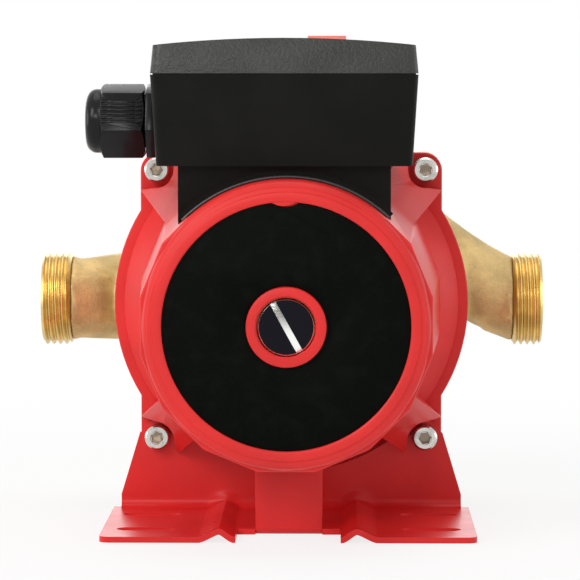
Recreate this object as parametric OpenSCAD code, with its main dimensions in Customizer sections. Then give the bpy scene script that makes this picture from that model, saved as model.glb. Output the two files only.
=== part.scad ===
// Wet-rotor shower pump on a sheet-steel foot, in millimetres.
// X runs along the pipes towards the outlet, Y runs back from the nameplate, Z is up.
// The origin is the middle of the four foot slots, on the underside of the foot.

/* [Pipe connections] */
// Length over the two threaded ports
port_span = 180; // [176:1:190]
// Outside diameter of the port thread
port_thread_d = 33.25; // [32.5:0.05:34]
// Length of the port thread
port_thread_l = 10.5; // [9:0.5:12]
// Bore of each port
port_bore_d = 23; // [21:0.5:24]
// Length of the straight bore behind each port face
port_bore_l = 12; // [11:0.5:14]
// Chamfer at both ends of the port thread
port_chamfer = 1; // [0.5:0.1:1.5]

/* [Place of the motor] */
// Height of the motor axis above the underside of the foot
axis_h = 75; // [74:0.5:80]
// Distance of the pipe axis behind the middle of the foot slots
pipe_back = 60.5; // [58:0.5:63]

/* [Pump casing] */
// Wall of the casting
casing_wall = 3; // [2.5:0.1:3.5]
// Distance of the flange joint in front of the pipe axis
joint_z = 15; // [14.5:0.5:17]
// Thickness of the casing flange
casing_flange_t = 10; // [8:0.5:12]
// Diameter of the impeller chamber
chamber_d = 74; // [73:0.5:76]
// Distance of the chamber floor behind the pipe axis
chamber_floor = 8; // [7.5:0.5:9]
// Radius of the volute channel at its tongue
volute_start_r = 3.5; // [3:0.1:4.5]
// Radius of the volute channel at its end
volute_end_r = 11; // [10:0.1:11.2]
// Distance of the suction passage behind the pipe axis
suction_drop = 22; // [21.5:0.5:26]
// Diameter of the impeller eye in the casing
eye_d = 26; // [25:0.5:27]

/* [Motor housing] */
// Diameter of the round part of the motor flange
flange_d = 125.8; // [124:0.2:128]
// Width across the straight sides of the lugs
lug_w = 107; // [106:0.5:109]
// Corner radius of the lugs
lug_corner_r = 6.4; // [5:0.1:7]
// Thickness of the motor flange at the lugs
flange_t = 8; // [7:0.5:10]
// Spacing of the flange screws, both ways
screw_spacing = 95; // [94:0.5:96]
// Distance of the nameplate's face in front of the pipe axis
plate_z = 130; // [129.5:0.5:140]
// Width of the sixteen-sided body across its corners, at the front
body_front_d = 96; // [95.5:0.5:98]
// Width of the body across its corners, at the flange
body_root_d = 108; // [106:0.5:109]
// Outside diameter of the cone at the body's root
cone_d = 118.8; // [117:0.2:120]
// Diameter of the round ring at the front
ring_d = 93.2; // [92:0.2:94]
// Diameter of the recess for the nameplate
recess_d = 80.4; // [79:0.2:82]
// Diameter of the boss round the vent plug
boss_d = 26.1; // [25.5:0.1:28]
// Diameter of the bore that holds the stator
cavity_d = 88; // [87:0.5:89]
// Width of each gusset from the body to a lug
gusset_w = 18.4; // [17:0.2:19]
// Radius of the spot face round each screw
spot_r = 6.3; // [6.1:0.1:6.6]

/* [Vent plug] */
// Diameter of the plug's head
plug_d = 18.5; // [17.8:0.1:18.8]
// Height of the plug's head
plug_head_h = 5.2; // [4:0.1:6]
// Diameter of the plug's thread
plug_thread_d = 13.16; // [12.8:0.02:13.4]
// Length of the plug's thread
plug_thread_l = 9; // [7:0.5:9]
// Width of the screwdriver slot
plug_slot_w = 2.1; // [1.6:0.1:2.6]
// Depth of the screwdriver slot
plug_slot_h = 2.6; // [2:0.1:3.2]
// Turn of the slot from upright, anticlockwise
plug_slot_turn = 29; // [0:1:90]

/* [Foot bracket] */
// Width of the foot along the pipes
foot_w = 126.6; // [125:0.2:130]
// Distance of the foot's front edge in front of the slots' middle
foot_front = 36.2; // [35:0.2:38]
// Thickness of the sheet
sheet_t = 2; // [1.5:0.1:2.5]
// Inside radius of the rear bend
bend_r = 3; // [2.95:0.05:4]
// Spacing of the foot slots along the pipes
slot_spacing_x = 97; // [96:0.5:98]
// Spacing of the foot slots from front to back
slot_spacing_y = 35.6; // [34:0.2:38]
// Width of each foot slot
slot_w = 7; // [6:0.5:8]
// Length of each foot slot, end to end
slot_l = 20; // [16:0.5:21]
// Width of the notch in the foot's front edge
notch_w = 35.2; // [33:0.2:36]
// Depth of the notch in the foot's front edge
notch_l = 19.2; // [16:0.2:22]
// Width of the tongue under the motor
tongue_w = 22.8; // [20:0.2:24]
// Outside radius of the tongue's bend
tongue_bend_r = 2.4; // [2.2:0.1:3]
// Height of each stiffening bead
bead_h = 2.9; // [2:0.1:2.9]
// Width of the upright plate at its foot
upright_w = 121; // [120:0.5:124]
// Width of the upright plate at the screws
upright_top_w = 107.6; // [106.8:0.2:109]
// Radius of the ears round the two lower screws
ear_r = 5.9; // [5.4:0.1:6]

/* [Terminal box] */
// Width of the box at the lid's seam
box_w = 86.7; // [85:0.1:90]
// Width of the box at its floor
box_floor_w = 83.1; // [82:0.1:86]
// Depth of the box from front to back
box_l = 88; // [86:0.5:90]
// Sideways place of the box's middle
box_x = -0.8; // [-1:0.1:1]
// Distance of the box's front behind the nameplate
box_back = 6; // [5:0.5:8]
// Height of the box's underside above the motor axis
box_z = 51.5; // [51:0.5:53]
// Height of the lid's seam above the motor axis
seam_z = 81; // [80.5:0.5:84]
// Width of the seam, filled by the gasket
seam_gap = 0.4; // [0.3:0.1:0.8]
// Height of the lid's side above the motor axis
lid_side_z = 90.4; // [90:0.1:93]
// Rise of the lid's crown in the middle
lid_crown = 2.4; // [2:0.1:2.8]
// Wall of the box and of the lid
box_wall = 2.5; // [2:0.1:2.8]
// Radius of the box's upright corners
box_corner_r = 3; // [2.6:0.1:4]
// Width of the neck between box and motor
neck_w = 69.1; // [68:0.1:70]
// Distance of the neck's front behind the nameplate
neck_back = 12; // [11:0.5:14]
// Depth of the neck from front to back
neck_l = 56; // [54:0.5:57]
// Height of the neck's lower tips above the motor axis
neck_z = 32.5; // [32:0.5:36]

/* [Switch] */
// Sideways place of the switch
switch_x = 12.8; // [10:0.1:14]
// Width of the rocker
rocker_w = 12.9; // [12:0.1:13.2]
// Radius of the rocker's ends about its pin
rocker_r = 9.6; // [9.2:0.1:9.8]
// Tilt of the rocker from its middle position
rocker_tilt = 12; // [8:1:14]
// Length of the switch's bezel
bezel_l = 23.4; // [23:0.1:24]
// Width of the switch's bezel
bezel_w = 16.6; // [16:0.1:17]
// Thickness of the bezel
bezel_t = 1.8; // [1.5:0.1:2]

/* [Cable gland] */
// Height of the gland above the motor axis
gland_z = 65.5; // [64:0.5:66.5]
// Width of the dome nut across its flats
gland_af = 22.4; // [21.6:0.1:22.6]
// Length of the nut's hexagon
gland_hex_l = 14.7; // [13:0.1:16]
// Diameter of the nut's dome
dome_d = 21.6; // [20:0.1:21.6]
// Length of the nut's dome
dome_l = 5.1; // [4.6:0.1:6]
// Hole for the cable in the dome
cable_hole_d = 10.4; // [9.6:0.1:11]
// Hole for the cable in the seal
seal_hole_d = 9; // [8:0.1:9.4]
// Diameter of the gland's thread
gland_thread_d = 18; // [17.4:0.1:18.2]

/* [Rotor] */
// Diameter of the shaft
shaft_d = 10; // [9.6:0.1:10.4]
// Diameter of the shaft's end that carries the impeller
stub_d = 8; // [7.6:0.1:8.4]
// Diameter of the rotor's lamination stack
rotor_d = 42; // [41:0.2:42.2]
// Length of the rotor's lamination stack
rotor_l = 56; // [50:1:58]
// Diameter of the impeller
impeller_d = 70; // [68:0.5:71]
// Number of impeller blades
blades = 7; // [5:1:8]
// Number of bars in the rotor's cage
cage_bars = 18; // [14:1:20]

/* [Stator] */
// Length of the stator stack
stator_l = 60; // [56:1:62]
// Bore of the stator stack
stator_bore_d = 46.2; // [46:0.1:46.6]
// Number of slots in the stator
stator_slots = 24; // [18:1:24]
// Bore of the rotor can
can_bore_d = 44.6; // [44.4:0.1:44.8]
// Wall of the rotor can
can_wall = 0.5; // [0.4:0.1:0.6]

/* [Clearances] */
// Radial clearance of a turning or threaded fit
running = 0.05; // [0.03:0.01:0.08]
// Clearance of located and pressed pieces
seat = 0.02; // [0.01:0.01:0.03]
// Clearance of free faces
free_gap = 0.3; // [0.25:0.05:0.4]

/* [Hidden] */
$fn = 64;

// Overrun of cuts, and thickness of the slices that a hull joins
over = 1;
slice = 0.01;
// Sides of a hull's rounded corners and of the lofted passages
hull_fn = 24;
loft_sides = 16;

// Pipe ports
port_x = port_span / 2;
port_bore_r = port_bore_d / 2;
bore_end_x = port_x - port_bore_l;
loft_lap = 2.2;
loft_taper = 0.4;
loft_step = 0.15;
loft_shrink = 0.25;

// Casing
chamber_r = chamber_d / 2;
volute_z = -1.5;
volute_mouth = 2.5;
tongue_turn = 30;
volute_sweep = 342;
volute_steps = 14;
scroll_split = 7;
duct_steps = 6;
// Lengths of the outlet duct's end tangents, and how steeply it meets the port
duct_lead = 22;
duct_tail = 17;
duct_port_turn = 17;
// The suction passage flattens to this half height and widens to this half width
suction_half_h = 8.5;
suction_half_w = 15;
suction_steps = 7;
suction_turn_x = 34;
suction_end_x = 11;
suction_bend = 16;
casing_inset = 0.6;
casing_boss_r = 6;
casing_boss_l = 14;
can_seat_r = 53;
can_seat_l = 4;
floor_t = 3;
eye_r = eye_d / 2;
wear_ring_r = 16;
wear_ring_l = 4.3;

// Flange screws
screw_d = 5;
screw_l = 20;
screw_head_d = 8.8;
screw_head_h = 5;
screw_hex = 4;
screw_hex_h = 2.8;
screw_chamfer = 0.5;
half_pitch = screw_spacing / 2;
seat_z = joint_z + flange_t;
screw_clear_r = 2.75;

// Motor housing body
sides = 16;
body_front_in = 3;
body_front_z = plate_z - body_front_in;
body_root_z = seat_z;
body_chamfer = 1.2;
cone_h = 7;
cone_top_r = 53.2;
ring_lip_r = 43.5;
ring_lip_z = plate_z + 1;
ring_fillet = 2.6;
plate_t = 0.75;
recess_z = plate_z - plate_t - running;
front_wall = 7.7;
cavity_r = cavity_d / 2;
cavity_end_z = recess_z - front_wall;
boss_z = plate_z + 2;
key_r = 7.1;
key_depth = 1.5;
vent_bore_r = 9.6;
gusset_reach = 66.1;
gusset_dip = 3.1;
gusset_dip_half_w = 4.5;
gusset_foot_h = 4;
gusset_low_z = seat_z + gusset_foot_h;
gusset_high_z = 58;
gusset_root_r = 48;
gusset_step_r = 50.5;
lead_z = 104;
lead_r = 1;
lead_slot_l = 5;

// Stator and winding
stator_mid_z = 68;
stator_z0 = stator_mid_z - stator_l / 2;
stator_z1 = stator_mid_z + stator_l / 2;
stator_play = 0.1;
stator_r = cavity_r - stator_play;
slot_in_r = 26;
slot_out_r = 36;
slot_in_w = 3.2;
slot_out_w = 5.2;
slot_mouth_w = 1.8;
coil_gap = 0.25;
coil_in_r = 25;
coil_out_r = 38;
coil_l = 13.5;
coil_round = 3;

// Rotor can and what carries the shaft in it
plate_disc_z = joint_z - can_seat_l;
plate_disc_t = 1.2;
can_flange_t = 0.8;
can_seat_gap = 0.2;
can_z0 = plate_disc_z + plate_disc_t;
can_in_r = can_bore_d / 2;
can_out_r = can_in_r + can_wall;
can_end_gap = 2.5;
can_end_z = cavity_end_z - can_end_gap;
bush_play = 0.1;
bush_r = vent_bore_r - bush_play;
bush_deep = 5;
bush_z0 = can_end_z - bush_deep;
bush_rise = 3.5;
bush_z1 = cavity_end_z + bush_rise;
bush_collar_r = 11.5;
bush_collar_h = 2;
bearing_r = 10;
bearing_lip = 1.2;
bearing_cup_t = 1.2;
rear_bearing_z0 = plate_disc_z + plate_disc_t + free_gap;
rear_bearing_l = 14;
front_bearing_r = 9;
front_bearing_l = 11;
holder_hub_r = 11;
holder_t = 3;
water_hole_r = 2;
water_ring_r = 16;
holder_hole_r = 3.2;
holder_ring_r = 16.5;
oring_r = 0.95;
oring_ring_r = 49;
can_oring_r = 1.2;

// Rotor
shaft_r = shaft_d / 2;
stub_r = stub_d / 2;
shaft_bore_r = 1.5;
rotor_mid_z = stator_mid_z;
rotor_r = rotor_d / 2;
rotor_z0 = rotor_mid_z - rotor_l / 2;
rotor_z1 = rotor_mid_z + rotor_l / 2;
cage_ring_h = 4;
cage_ring_in_r = 13;
cage_bar_r = 1.6;
cage_bar_ring_r = 17.6;
sleeve_t = 0.5;
sleeve_end_t = 0.6;
sleeve_gap = 0.2;
sleeve_z0 = rotor_z0 - cage_ring_h - sleeve_gap;
sleeve_z1 = rotor_z1 + cage_ring_h + sleeve_gap;
thrust_r = 9;
rear_lip_z = rear_bearing_z0 + rear_bearing_l + free_gap;
thrust_z0 = rear_lip_z + bearing_lip + free_gap;
front_bearing_z0 = sleeve_z1 + sleeve_end_t + free_gap;
front_bearing_z1 = front_bearing_z0 + front_bearing_l;
shaft_front_z = front_bearing_z1 - free_gap;

// Impeller
impeller_r = impeller_d / 2;
impeller_back_z = 5;
impeller_disc_t = 2.5;
impeller_front_z = -6;
shroud_t = 2;
blade_t = 2;
blade_arc_r = 24;
blade_arc_off = 19;
hub_r = 8.5;
eye_neck_in = 2.6;
neck_out_r = wear_ring_r - eye_neck_in;
neck_in_r = 11;
neck_end_z = -chamber_floor - wear_ring_l + free_gap;
nut_af = 12;
nut_h = 4;
stub_end_z = impeller_front_z - nut_h - 1;

// Vent plug
vent_seal_t = 1.2;
vent_seal_in_r = 6.75;
vent_seal_r = 9.1;
plug_z = bush_z1 + vent_seal_t + 2 * seat;
plug_chamfer = 0.5;

// Foot bracket
foot_back_y = pipe_back - seat_z;
upright_y = foot_back_y - sheet_t;
bend_y = upright_y - bend_r;
bend_z = sheet_t + bend_r;
foot_corner_r = 3.3;
ear_z = axis_h - half_pitch;
slope_top_drop = 46;
slope_top_z = axis_h - slope_top_drop;
slope_foot_drop = 68.2;
slope_foot_z = axis_h - slope_foot_drop;
upright_arc_r = 60;
relief = 0.5;
bead_in_x = 18.5;
bead_peak_x = 23;
bead_out_x = 29.5;
bead_rise_l = 3;
bead_fade_l = 5;
tongue_y = notch_l - foot_front;

// Terminal box
box_y = pipe_back - plate_z + box_back + box_l / 2;
box_h = seam_z - box_z;
floor_z = axis_h + box_z + box_wall;
neck_y = pipe_back - plate_z + neck_back + neck_l / 2;
lid_z = axis_h + seam_z + seam_gap;
lid_h = lid_side_z + lid_crown - seam_z - seam_gap;
lid_side_h = lid_side_z - seam_z - seam_gap;
lid_lean = 1.1;
lid_top_t = 2.2;
crown_r = (pow(box_w / 2, 2) + pow(lid_crown, 2)) / (2 * lid_crown);
gasket_in = 0.8;
gasket_w = 1.4;
post_r = 4;
post_in = 6.9;
lid_screw_r = 1.5;
lid_screw_head_r = 3;
lid_screw_head_h = 2;
lid_screw_sink = 2.6;
lid_screw_l = 16;
box_screw_edge = 5.55;
box_screw_gap = 7.45;
box_screw_in = 6;
box_screw_r = 2;
box_screw_head_r = 3.5;
box_screw_head_h = 2.4;
box_screw_x = min(neck_w / 2 - box_screw_edge, box_w / 2 - post_in - box_screw_gap,
                  box_floor_w / 2 - box_wall - abs(box_x) - box_screw_head_r - free_gap);
box_screw_low = 39.6;
box_screw_end_z = axis_h + box_screw_low;
box_post_r = 4.5;

// Gland
gland_y = box_y;
pad_r = 12;
pad_out = 0.45;
pad_x = box_x - max(box_w, box_floor_w) / 2 - pad_out;
pad_wall_in = max(box_w, box_floor_w) / 2 - min(box_half_w(gland_z + pad_r), box_half_w(gland_z - pad_r));
locknut_gap = 0.07;
pad_l = pad_out + pad_wall_in + box_wall + locknut_gap;
gland_r = gland_thread_d / 2;
gland_collar_l = 3;
gland_nut_gap = 0.5;
gland_thread_l = 10.5;
gland_bore_r = 5.6;
gland_seal_r = 7.1;
gland_seal_l = 10;
gland_body_wall = 1.7;
locknut_af = 21;
locknut_h = 4;
stub_over = 1.3;
gland_stub_l = pad_l + locknut_h + stub_over;
gland_turn = 16.6;
rib_h = 0.4;
rib_w = 0.7;
rib_pitch = 1.4;
rib_l = 9;
ribs = 6;
dome_round = 3.6;
nut_chamfer = 1;

// Inside the terminal box
cap_r = 12;
cap_gap = 3.6;
cap_back_gap = 11.5;
cap_front_gap = 19.5;
cap_l = box_l - 2 * box_wall - cap_back_gap - cap_front_gap;
cap_x = pad_x + gland_stub_l + cap_gap + cap_r;
cap_z = plate_z - box_back - box_l + box_wall + cap_back_gap;
clip_w = 12;
clip_z = plate_z - neck_back - neck_l / 2 - clip_w / 2;
block_gap = 2.5;
block_end_gap = 0.75;
block_left = cap_x + cap_r + block_gap;
block_right = box_x + min(box_w, box_floor_w) / 2 - box_wall - block_end_gap;
block_w = block_right - block_left;
block_x = (block_left + block_right) / 2;
poles = 5;
barrier_w = 1.2;
block_rim = 0.4;
pole_gap = 0.8;
pole_play = 0.2;
pole_pitch = (block_w - barrier_w - 2 * block_rim) / poles;
pole_r = (pole_pitch - barrier_w) / 2 - pole_gap;
pole_screw_r = pole_r - pole_play;
lead_margin = 2;
lead_slot_w = 2 * (pole_pitch + lead_margin);
block_l = 16;
block_h = 12.6;
block_z = 80;
pole_screw_h = 3;
pole_deep = 6;
wire_hole_r = 1.5;
wire_hole_h = 5.5;
barrier_h = 1.4;
cap_tab_w = 6.3;
cap_tab_t = 0.8;
cap_tab_l = 7;
cap_tab_x = 5;
clip_t = 0.9;
clip_foot_w = 22;
clip_foot_t = 1.2;
cap_y = box_wall + clip_t + cap_r + 4 * seat;

// Switch
switch_z = 85;
bezel_sink = 0.8;
bezel_top = lid_side_z + lid_crown - bezel_sink;
pin_drop = 3.7;
rocker_pin_z = bezel_top - pin_drop;
rocker_dip = 2.2;
rocker_foot = 4.5;
pin_r = 1.2;
pin_l = 0.5;
switch_wall = 0.85;
switch_h = 14;
switch_floor = 2;
switch_pocket_gap = 0.15;
tab_w = 4.8;
tab_t = 0.8;
tab_l = 7;
tab_pitch = 7;

brass = [0.73, 0.6, 0.33];
red = [0.85, 0.17, 0.15];
black = [0.13, 0.13, 0.12];
steel = [0.76, 0.74, 0.7];
dark_steel = [0.4, 0.4, 0.42];
copper = [0.72, 0.4, 0.2];
rubber = [0.1, 0.1, 0.1];
ivory = [0.85, 0.82, 0.74];
orange = [0.87, 0.35, 0.22];

// Frame of the motor: its Z points forward along the axis, from the pipe axis
module at_motor() translate([0, pipe_back, axis_h]) rotate([90, 0, 0]) children();

// Frame of the gland: its Z points out along the cable, from the pad's face
module at_gland() translate([pad_x, gland_y, axis_h + gland_z]) rotate([0, -90, 0]) children();

module tube(r_out, r_in, h) {
    difference() {
        cylinder(h = h, r = r_out);
        translate([0, 0, -over]) cylinder(h = h + 2 * over, r = r_in);
    }
}

module up(z) translate([0, 0, z]) children();

// Both halves of something that is mirrored across the middle plane
module both_sides() {
    children();
    mirror([1, 0, 0]) children();
}

module at_screws(pitch) for (x = [-1, 1], y = [-1, 1]) translate([x * pitch, y * pitch, 0]) children();

module rounded_rect(w, l, r) {
    square([w - 2 * r, l], center = true);
    square([w, l - 2 * r], center = true);
    for (x = [-1, 1], y = [-1, 1]) translate([x * (w / 2 - r), y * (l / 2 - r)]) circle(r = r);
}

// A box whose width and depth change from its floor to its top
module drafted_box(w0, l0, w1, l1, h, r) {
    hull() {
        linear_extrude(slice) rounded_rect(w0, l0, r, $fn = hull_fn);
        up(h - slice) linear_extrude(slice) rounded_rect(w1, l1, r, $fn = hull_fn);
    }
}

module hexagon(af, h) cylinder(h = h, r = af / 2 / cos(30), $fn = 6);

// Lofted tube through a list of rings, each a list of points
module loft(rings) {
    n = len(rings[0]);
    last = len(rings) - 1;
    points = [for (ring = rings, p = ring) p];
    sides_a = [for (k = [0 : last - 1], i = [0 : n - 1])
        [k * n + i, (k + 1) * n + i, (k + 1) * n + (i + 1) % n]];
    sides_b = [for (k = [0 : last - 1], i = [0 : n - 1])
        [k * n + i, (k + 1) * n + (i + 1) % n, k * n + (i + 1) % n]];
    near = [[for (i = [0 : n - 1]) i]];
    far = [[for (i = [n - 1 : -1 : 0]) last * n + i]];
    polyhedron(points, concat(sides_a, sides_b, near, far), convexity = 6);
}

function ring(centre, u, v, a, b) = [for (i = [0 : loft_sides - 1])
    let (turn = 360 * (i + 0.5) / loft_sides) centre + u * a * cos(turn) + v * b * sin(turn)];
function bezier(p, t) = pow(1 - t, 3) * p[0] + 3 * pow(1 - t, 2) * t * p[1]
    + 3 * (1 - t) * t * t * p[2] + pow(t, 3) * p[3];
function bezier_way(p, t) = let (d = pow(1 - t, 2) * (p[1] - p[0])
    + 2 * (1 - t) * t * (p[2] - p[1]) + t * t * (p[3] - p[2])) d / norm(d);

// Volute channel: a spiral that grows from its tongue, then a duct that sweeps to the outlet
function volute_turn(share) = tongue_turn - share * volute_sweep;
function volute_r(share) = volute_start_r + share * (volute_end_r - volute_start_r);
function volute_centre(share) = let (turn = volute_turn(share),
    r = chamber_r - volute_mouth + volute_r(share)) [r * cos(turn), r * sin(turn), volute_z];
function duct_points() = let (turn = volute_turn(1), from = volute_centre(1),
    to = [bore_end_x + loft_lap, 0, 0])
    [from, from + duct_lead * [sin(turn), -cos(turn), 0],
     to + duct_tail * [-cos(duct_port_turn), sin(duct_port_turn), 0], to];
function scroll_rings(grow, from, to) = [for (i = [from : to])
    let (share = i / volute_steps, turn = volute_turn(share))
        ring(volute_centre(share), [cos(turn), sin(turn), 0], [0, 0, 1],
             volute_r(share) + grow, volute_r(share) + grow)];
// The spiral ends inside the start of the duct, and the duct inside the spiral, so they cross cleanly
function spiral_rings(grow) = concat(scroll_rings(grow, 0, scroll_split),
    scroll_rings(grow - loft_taper, scroll_split + 1, scroll_split + 1));
function duct_rings(grow) = concat(scroll_rings(grow - loft_taper, scroll_split - 1, scroll_split - 1),
    scroll_rings(grow + loft_step, scroll_split, scroll_split),
    scroll_rings(grow, scroll_split + 1, volute_steps),
    [for (i = [1 : duct_steps]) let (t = i / duct_steps, way = bezier_way(duct_points(), t),
        r = volute_end_r + t * (port_bore_r - loft_shrink - volute_end_r) + grow)
        ring(bezier(duct_points(), t), [-way[1], way[0], 0], [0, 0, 1], r, r)]);

// Suction passage: it drops behind the volute and runs flat and wide to the eye
function suction_points() = let (from_x = -bore_end_x - loft_lap)
    [[from_x, 0, 0], [from_x + suction_bend, 0, 0],
     [-suction_turn_x - 1.75 * suction_bend, 0, -suction_drop], [-suction_turn_x, 0, -suction_drop]];
function suction_rings(grow) = concat(
    [for (i = [0 : suction_steps]) let (t = i / suction_steps, way = bezier_way(suction_points(), t),
        r = port_bore_r - loft_shrink)
        ring(bezier(suction_points(), t), [-way[2], 0, way[0]], [0, -1, 0],
             r + t * (suction_half_h - r) + grow, r + t * (suction_half_w - r) + grow)],
    [for (x = [-suction_end_x, suction_end_x + grow])
        ring([x, 0, -suction_drop], [0, 0, 1], [0, -1, 0], suction_half_h + grow,
             suction_half_w + grow)]);

// Outline of the flange joint: a round flange with four square lugs
module flange_outline(inset) {
    circle(r = flange_d / 2 - inset);
    rounded_rect(lug_w - 2 * inset, lug_w - 2 * inset, lug_corner_r);
}

module port_thread() {
    cylinder(h = port_chamfer, r1 = port_thread_d / 2 - port_chamfer, r2 = port_thread_d / 2);
    up(port_chamfer) cylinder(h = port_thread_l - 2 * port_chamfer, r = port_thread_d / 2);
    up(port_thread_l - port_chamfer)
        cylinder(h = port_chamfer, r1 = port_thread_d / 2, r2 = port_thread_d / 2 - port_chamfer);
}

module at_ports() for (side = [-1, 1]) translate([side * port_x, 0, 0]) rotate([0, -side * 90, 0]) children();

module pump_casing() color(brass) at_motor() difference() {
    union() {
        up(joint_z - casing_flange_t) linear_extrude(casing_flange_t) flange_outline(casing_inset);
        at_screws(half_pitch) up(joint_z - casing_boss_l) cylinder(h = casing_boss_l, r = casing_boss_r);
        up(-chamber_floor - floor_t) cylinder(h = chamber_floor + joint_z, r = chamber_r + casing_wall + over);
        up(-suction_drop) cylinder(h = suction_drop - chamber_floor, r = wear_ring_r + casing_wall);
        loft(spiral_rings(casing_wall));
        loft(duct_rings(casing_wall));
        loft(suction_rings(casing_wall));
        at_ports() port_thread();
    }
    up(-chamber_floor) cylinder(h = chamber_floor + joint_z + over, r = chamber_r);
    up(joint_z - can_seat_l) cylinder(h = can_seat_l + over, r = can_seat_r);
    up(-chamber_floor - wear_ring_l) cylinder(h = wear_ring_l + over, r = wear_ring_r + seat);
    up(-suction_drop) cylinder(h = suction_drop - chamber_floor, r = eye_r);
    loft(spiral_rings(0));
    loft(duct_rings(0));
    loft(suction_rings(0));
    at_ports() up(-over) cylinder(h = port_bore_l + over, r = port_bore_r);
    at_screws(half_pitch) up(joint_z - casing_boss_l - over)
        cylinder(h = casing_boss_l + 2 * over, r = screw_d / 2 + running);
}

module wear_ring() color(steel) at_motor() up(seat - chamber_floor - wear_ring_l)
    tube(wear_ring_r, neck_out_r + free_gap, wear_ring_l - 2 * seat);

module bearing_plate() color(steel) at_motor() difference() {
    union() {
        up(plate_disc_z + seat) cylinder(h = plate_disc_t - 2 * seat, r = can_seat_r - can_seat_gap);
        up(plate_disc_z + seat)
            cylinder(h = rear_lip_z + bearing_lip - plate_disc_z - seat, r = bearing_r + bearing_cup_t);
    }
    up(plate_disc_z - over) cylinder(h = rear_lip_z - plate_disc_z + over, r = bearing_r + seat);
    up(plate_disc_z) cylinder(h = rear_lip_z, r = shaft_r + over);
    for (turn = [0 : 90 : 270]) rotate(turn) translate([water_ring_r, 0, plate_disc_z - over])
        cylinder(h = plate_disc_t + 2 * over, r = water_hole_r);
}

module rear_bearing() color(dark_steel) at_motor() up(rear_bearing_z0)
    tube(bearing_r, shaft_r + running, rear_bearing_l);

module casing_oring() color(rubber) at_motor() up(joint_z - oring_r - running) rotate_extrude()
    translate([oring_ring_r, 0]) circle(r = oring_r, $fn = hull_fn);

module rotor_can() color(steel) at_motor() rotate_extrude() polygon([
    [can_in_r, can_z0], [can_seat_r - can_seat_gap, can_z0],
    [can_seat_r - can_seat_gap, can_z0 + can_flange_t], [can_out_r, can_z0 + can_flange_t],
    [can_out_r, can_end_z], [bush_r + seat, can_end_z], [bush_r + seat, can_end_z - can_wall],
    [can_in_r, can_end_z - can_wall]
]);

module front_bearing_holder() color(steel) at_motor() difference() {
    union() {
        up(front_bearing_z0 + holder_t) cylinder(h = holder_t, r = can_in_r - seat);
        up(front_bearing_z0) cylinder(h = front_bearing_l, r = holder_hub_r);
    }
    up(front_bearing_z0 - over) cylinder(h = front_bearing_l + 2 * over, r = front_bearing_r + seat);
    for (turn = [45 : 90 : 315]) rotate(turn) translate([holder_ring_r, 0, front_bearing_z0 + holder_t - over])
        cylinder(h = holder_t + 2 * over, r = holder_hole_r);
}

module front_bearing() color(dark_steel) at_motor() up(front_bearing_z0)
    tube(front_bearing_r, shaft_r + running, front_bearing_l);

module can_bush() color(brass) at_motor() difference() {
    union() {
        up(bush_z0) cylinder(h = bush_z1 - bush_z0, r = bush_r);
        up(can_end_z - can_wall - bush_collar_h - seat) cylinder(h = bush_collar_h, r = bush_collar_r);
    }
    up(bush_z0 - over) cylinder(h = bush_z1 - bush_z0 + 2 * over, r = plug_thread_d / 2 + running);
}

module can_oring() color(rubber) at_motor() up((can_end_z + cavity_end_z) / 2) rotate_extrude()
    translate([bush_r + can_oring_r + seat, 0]) circle(r = can_oring_r, $fn = hull_fn);

module slot_outline(inset) polygon([
    [slot_in_r + inset, -slot_in_w / 2 + inset], [slot_out_r - inset, -slot_out_w / 2 + inset],
    [slot_out_r - inset, slot_out_w / 2 - inset], [slot_in_r + inset, slot_in_w / 2 - inset]
]);

module around(count) for (i = [0 : count - 1]) rotate(360 * i / count) children();

module stator_core() color(dark_steel) at_motor() up(stator_z0) linear_extrude(stator_l) difference() {
    circle(r = stator_r);
    circle(r = stator_bore_d / 2);
    around(stator_slots) {
        slot_outline(0);
        translate([stator_bore_d / 2 - over, -slot_mouth_w / 2])
            square([slot_in_r - stator_bore_d / 2 + 2 * over, slot_mouth_w]);
    }
}

module coil_end() rotate_extrude() polygon([
    [coil_in_r, 0], [coil_out_r, 0], [coil_out_r, coil_l - coil_round], [coil_out_r - coil_round, coil_l],
    [coil_in_r + coil_round, coil_l], [coil_in_r, coil_l - coil_round]
]);

module stator_windings() color(copper) at_motor() {
    up(stator_z0 - free_gap - over) linear_extrude(stator_l + 2 * free_gap + 2 * over)
        around(stator_slots) slot_outline(coil_gap);
    up(stator_z1 + free_gap) coil_end();
    up(stator_z0 - free_gap) mirror([0, 0, 1]) coil_end();
}

module motor_leads() color(ivory) at_motor() for (i = [-1, 0, 1]) {
    x = block_x + i * pole_pitch;
    foot = sqrt(pow(coil_out_r, 2) - pow(x - lead_r, 2)) + free_gap;
    top = box_z + box_wall + seat + wire_hole_h;
    translate([x, foot, lead_z]) rotate([-90, 0, 0]) cylinder(h = top - foot, r = lead_r, $fn = hull_fn);
    translate([x, top, lead_z]) sphere(r = lead_r, $fn = hull_fn);
    translate([x, top, block_z + block_l / 2 + seat])
        cylinder(h = lead_z - block_z - block_l / 2 - seat, r = lead_r, $fn = hull_fn);
}

// The body's sixteen-sided outline, with a flat at the top and the bottom
module body_outline(r) polygon([for (i = [0 : sides - 1])
    let (turn = 360 * (i + 0.5) / sides) r * [cos(turn), sin(turn)]]);
module body_shell(grow) {
    root_r = body_root_d / 2 + grow;
    front_r = body_front_d / 2 + grow;
    up(body_root_z) linear_extrude(body_front_z - body_root_z, scale = front_r / root_r)
        body_outline(root_r);
}
// Height of the body's flat top above the axis, at a distance in front of the pipe axis
function body_flat(z) = cos(180 / sides) * (body_root_d / 2
    - (body_root_d - body_front_d) / 2 * (z - body_root_z) / (body_front_z - body_root_z));

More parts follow.
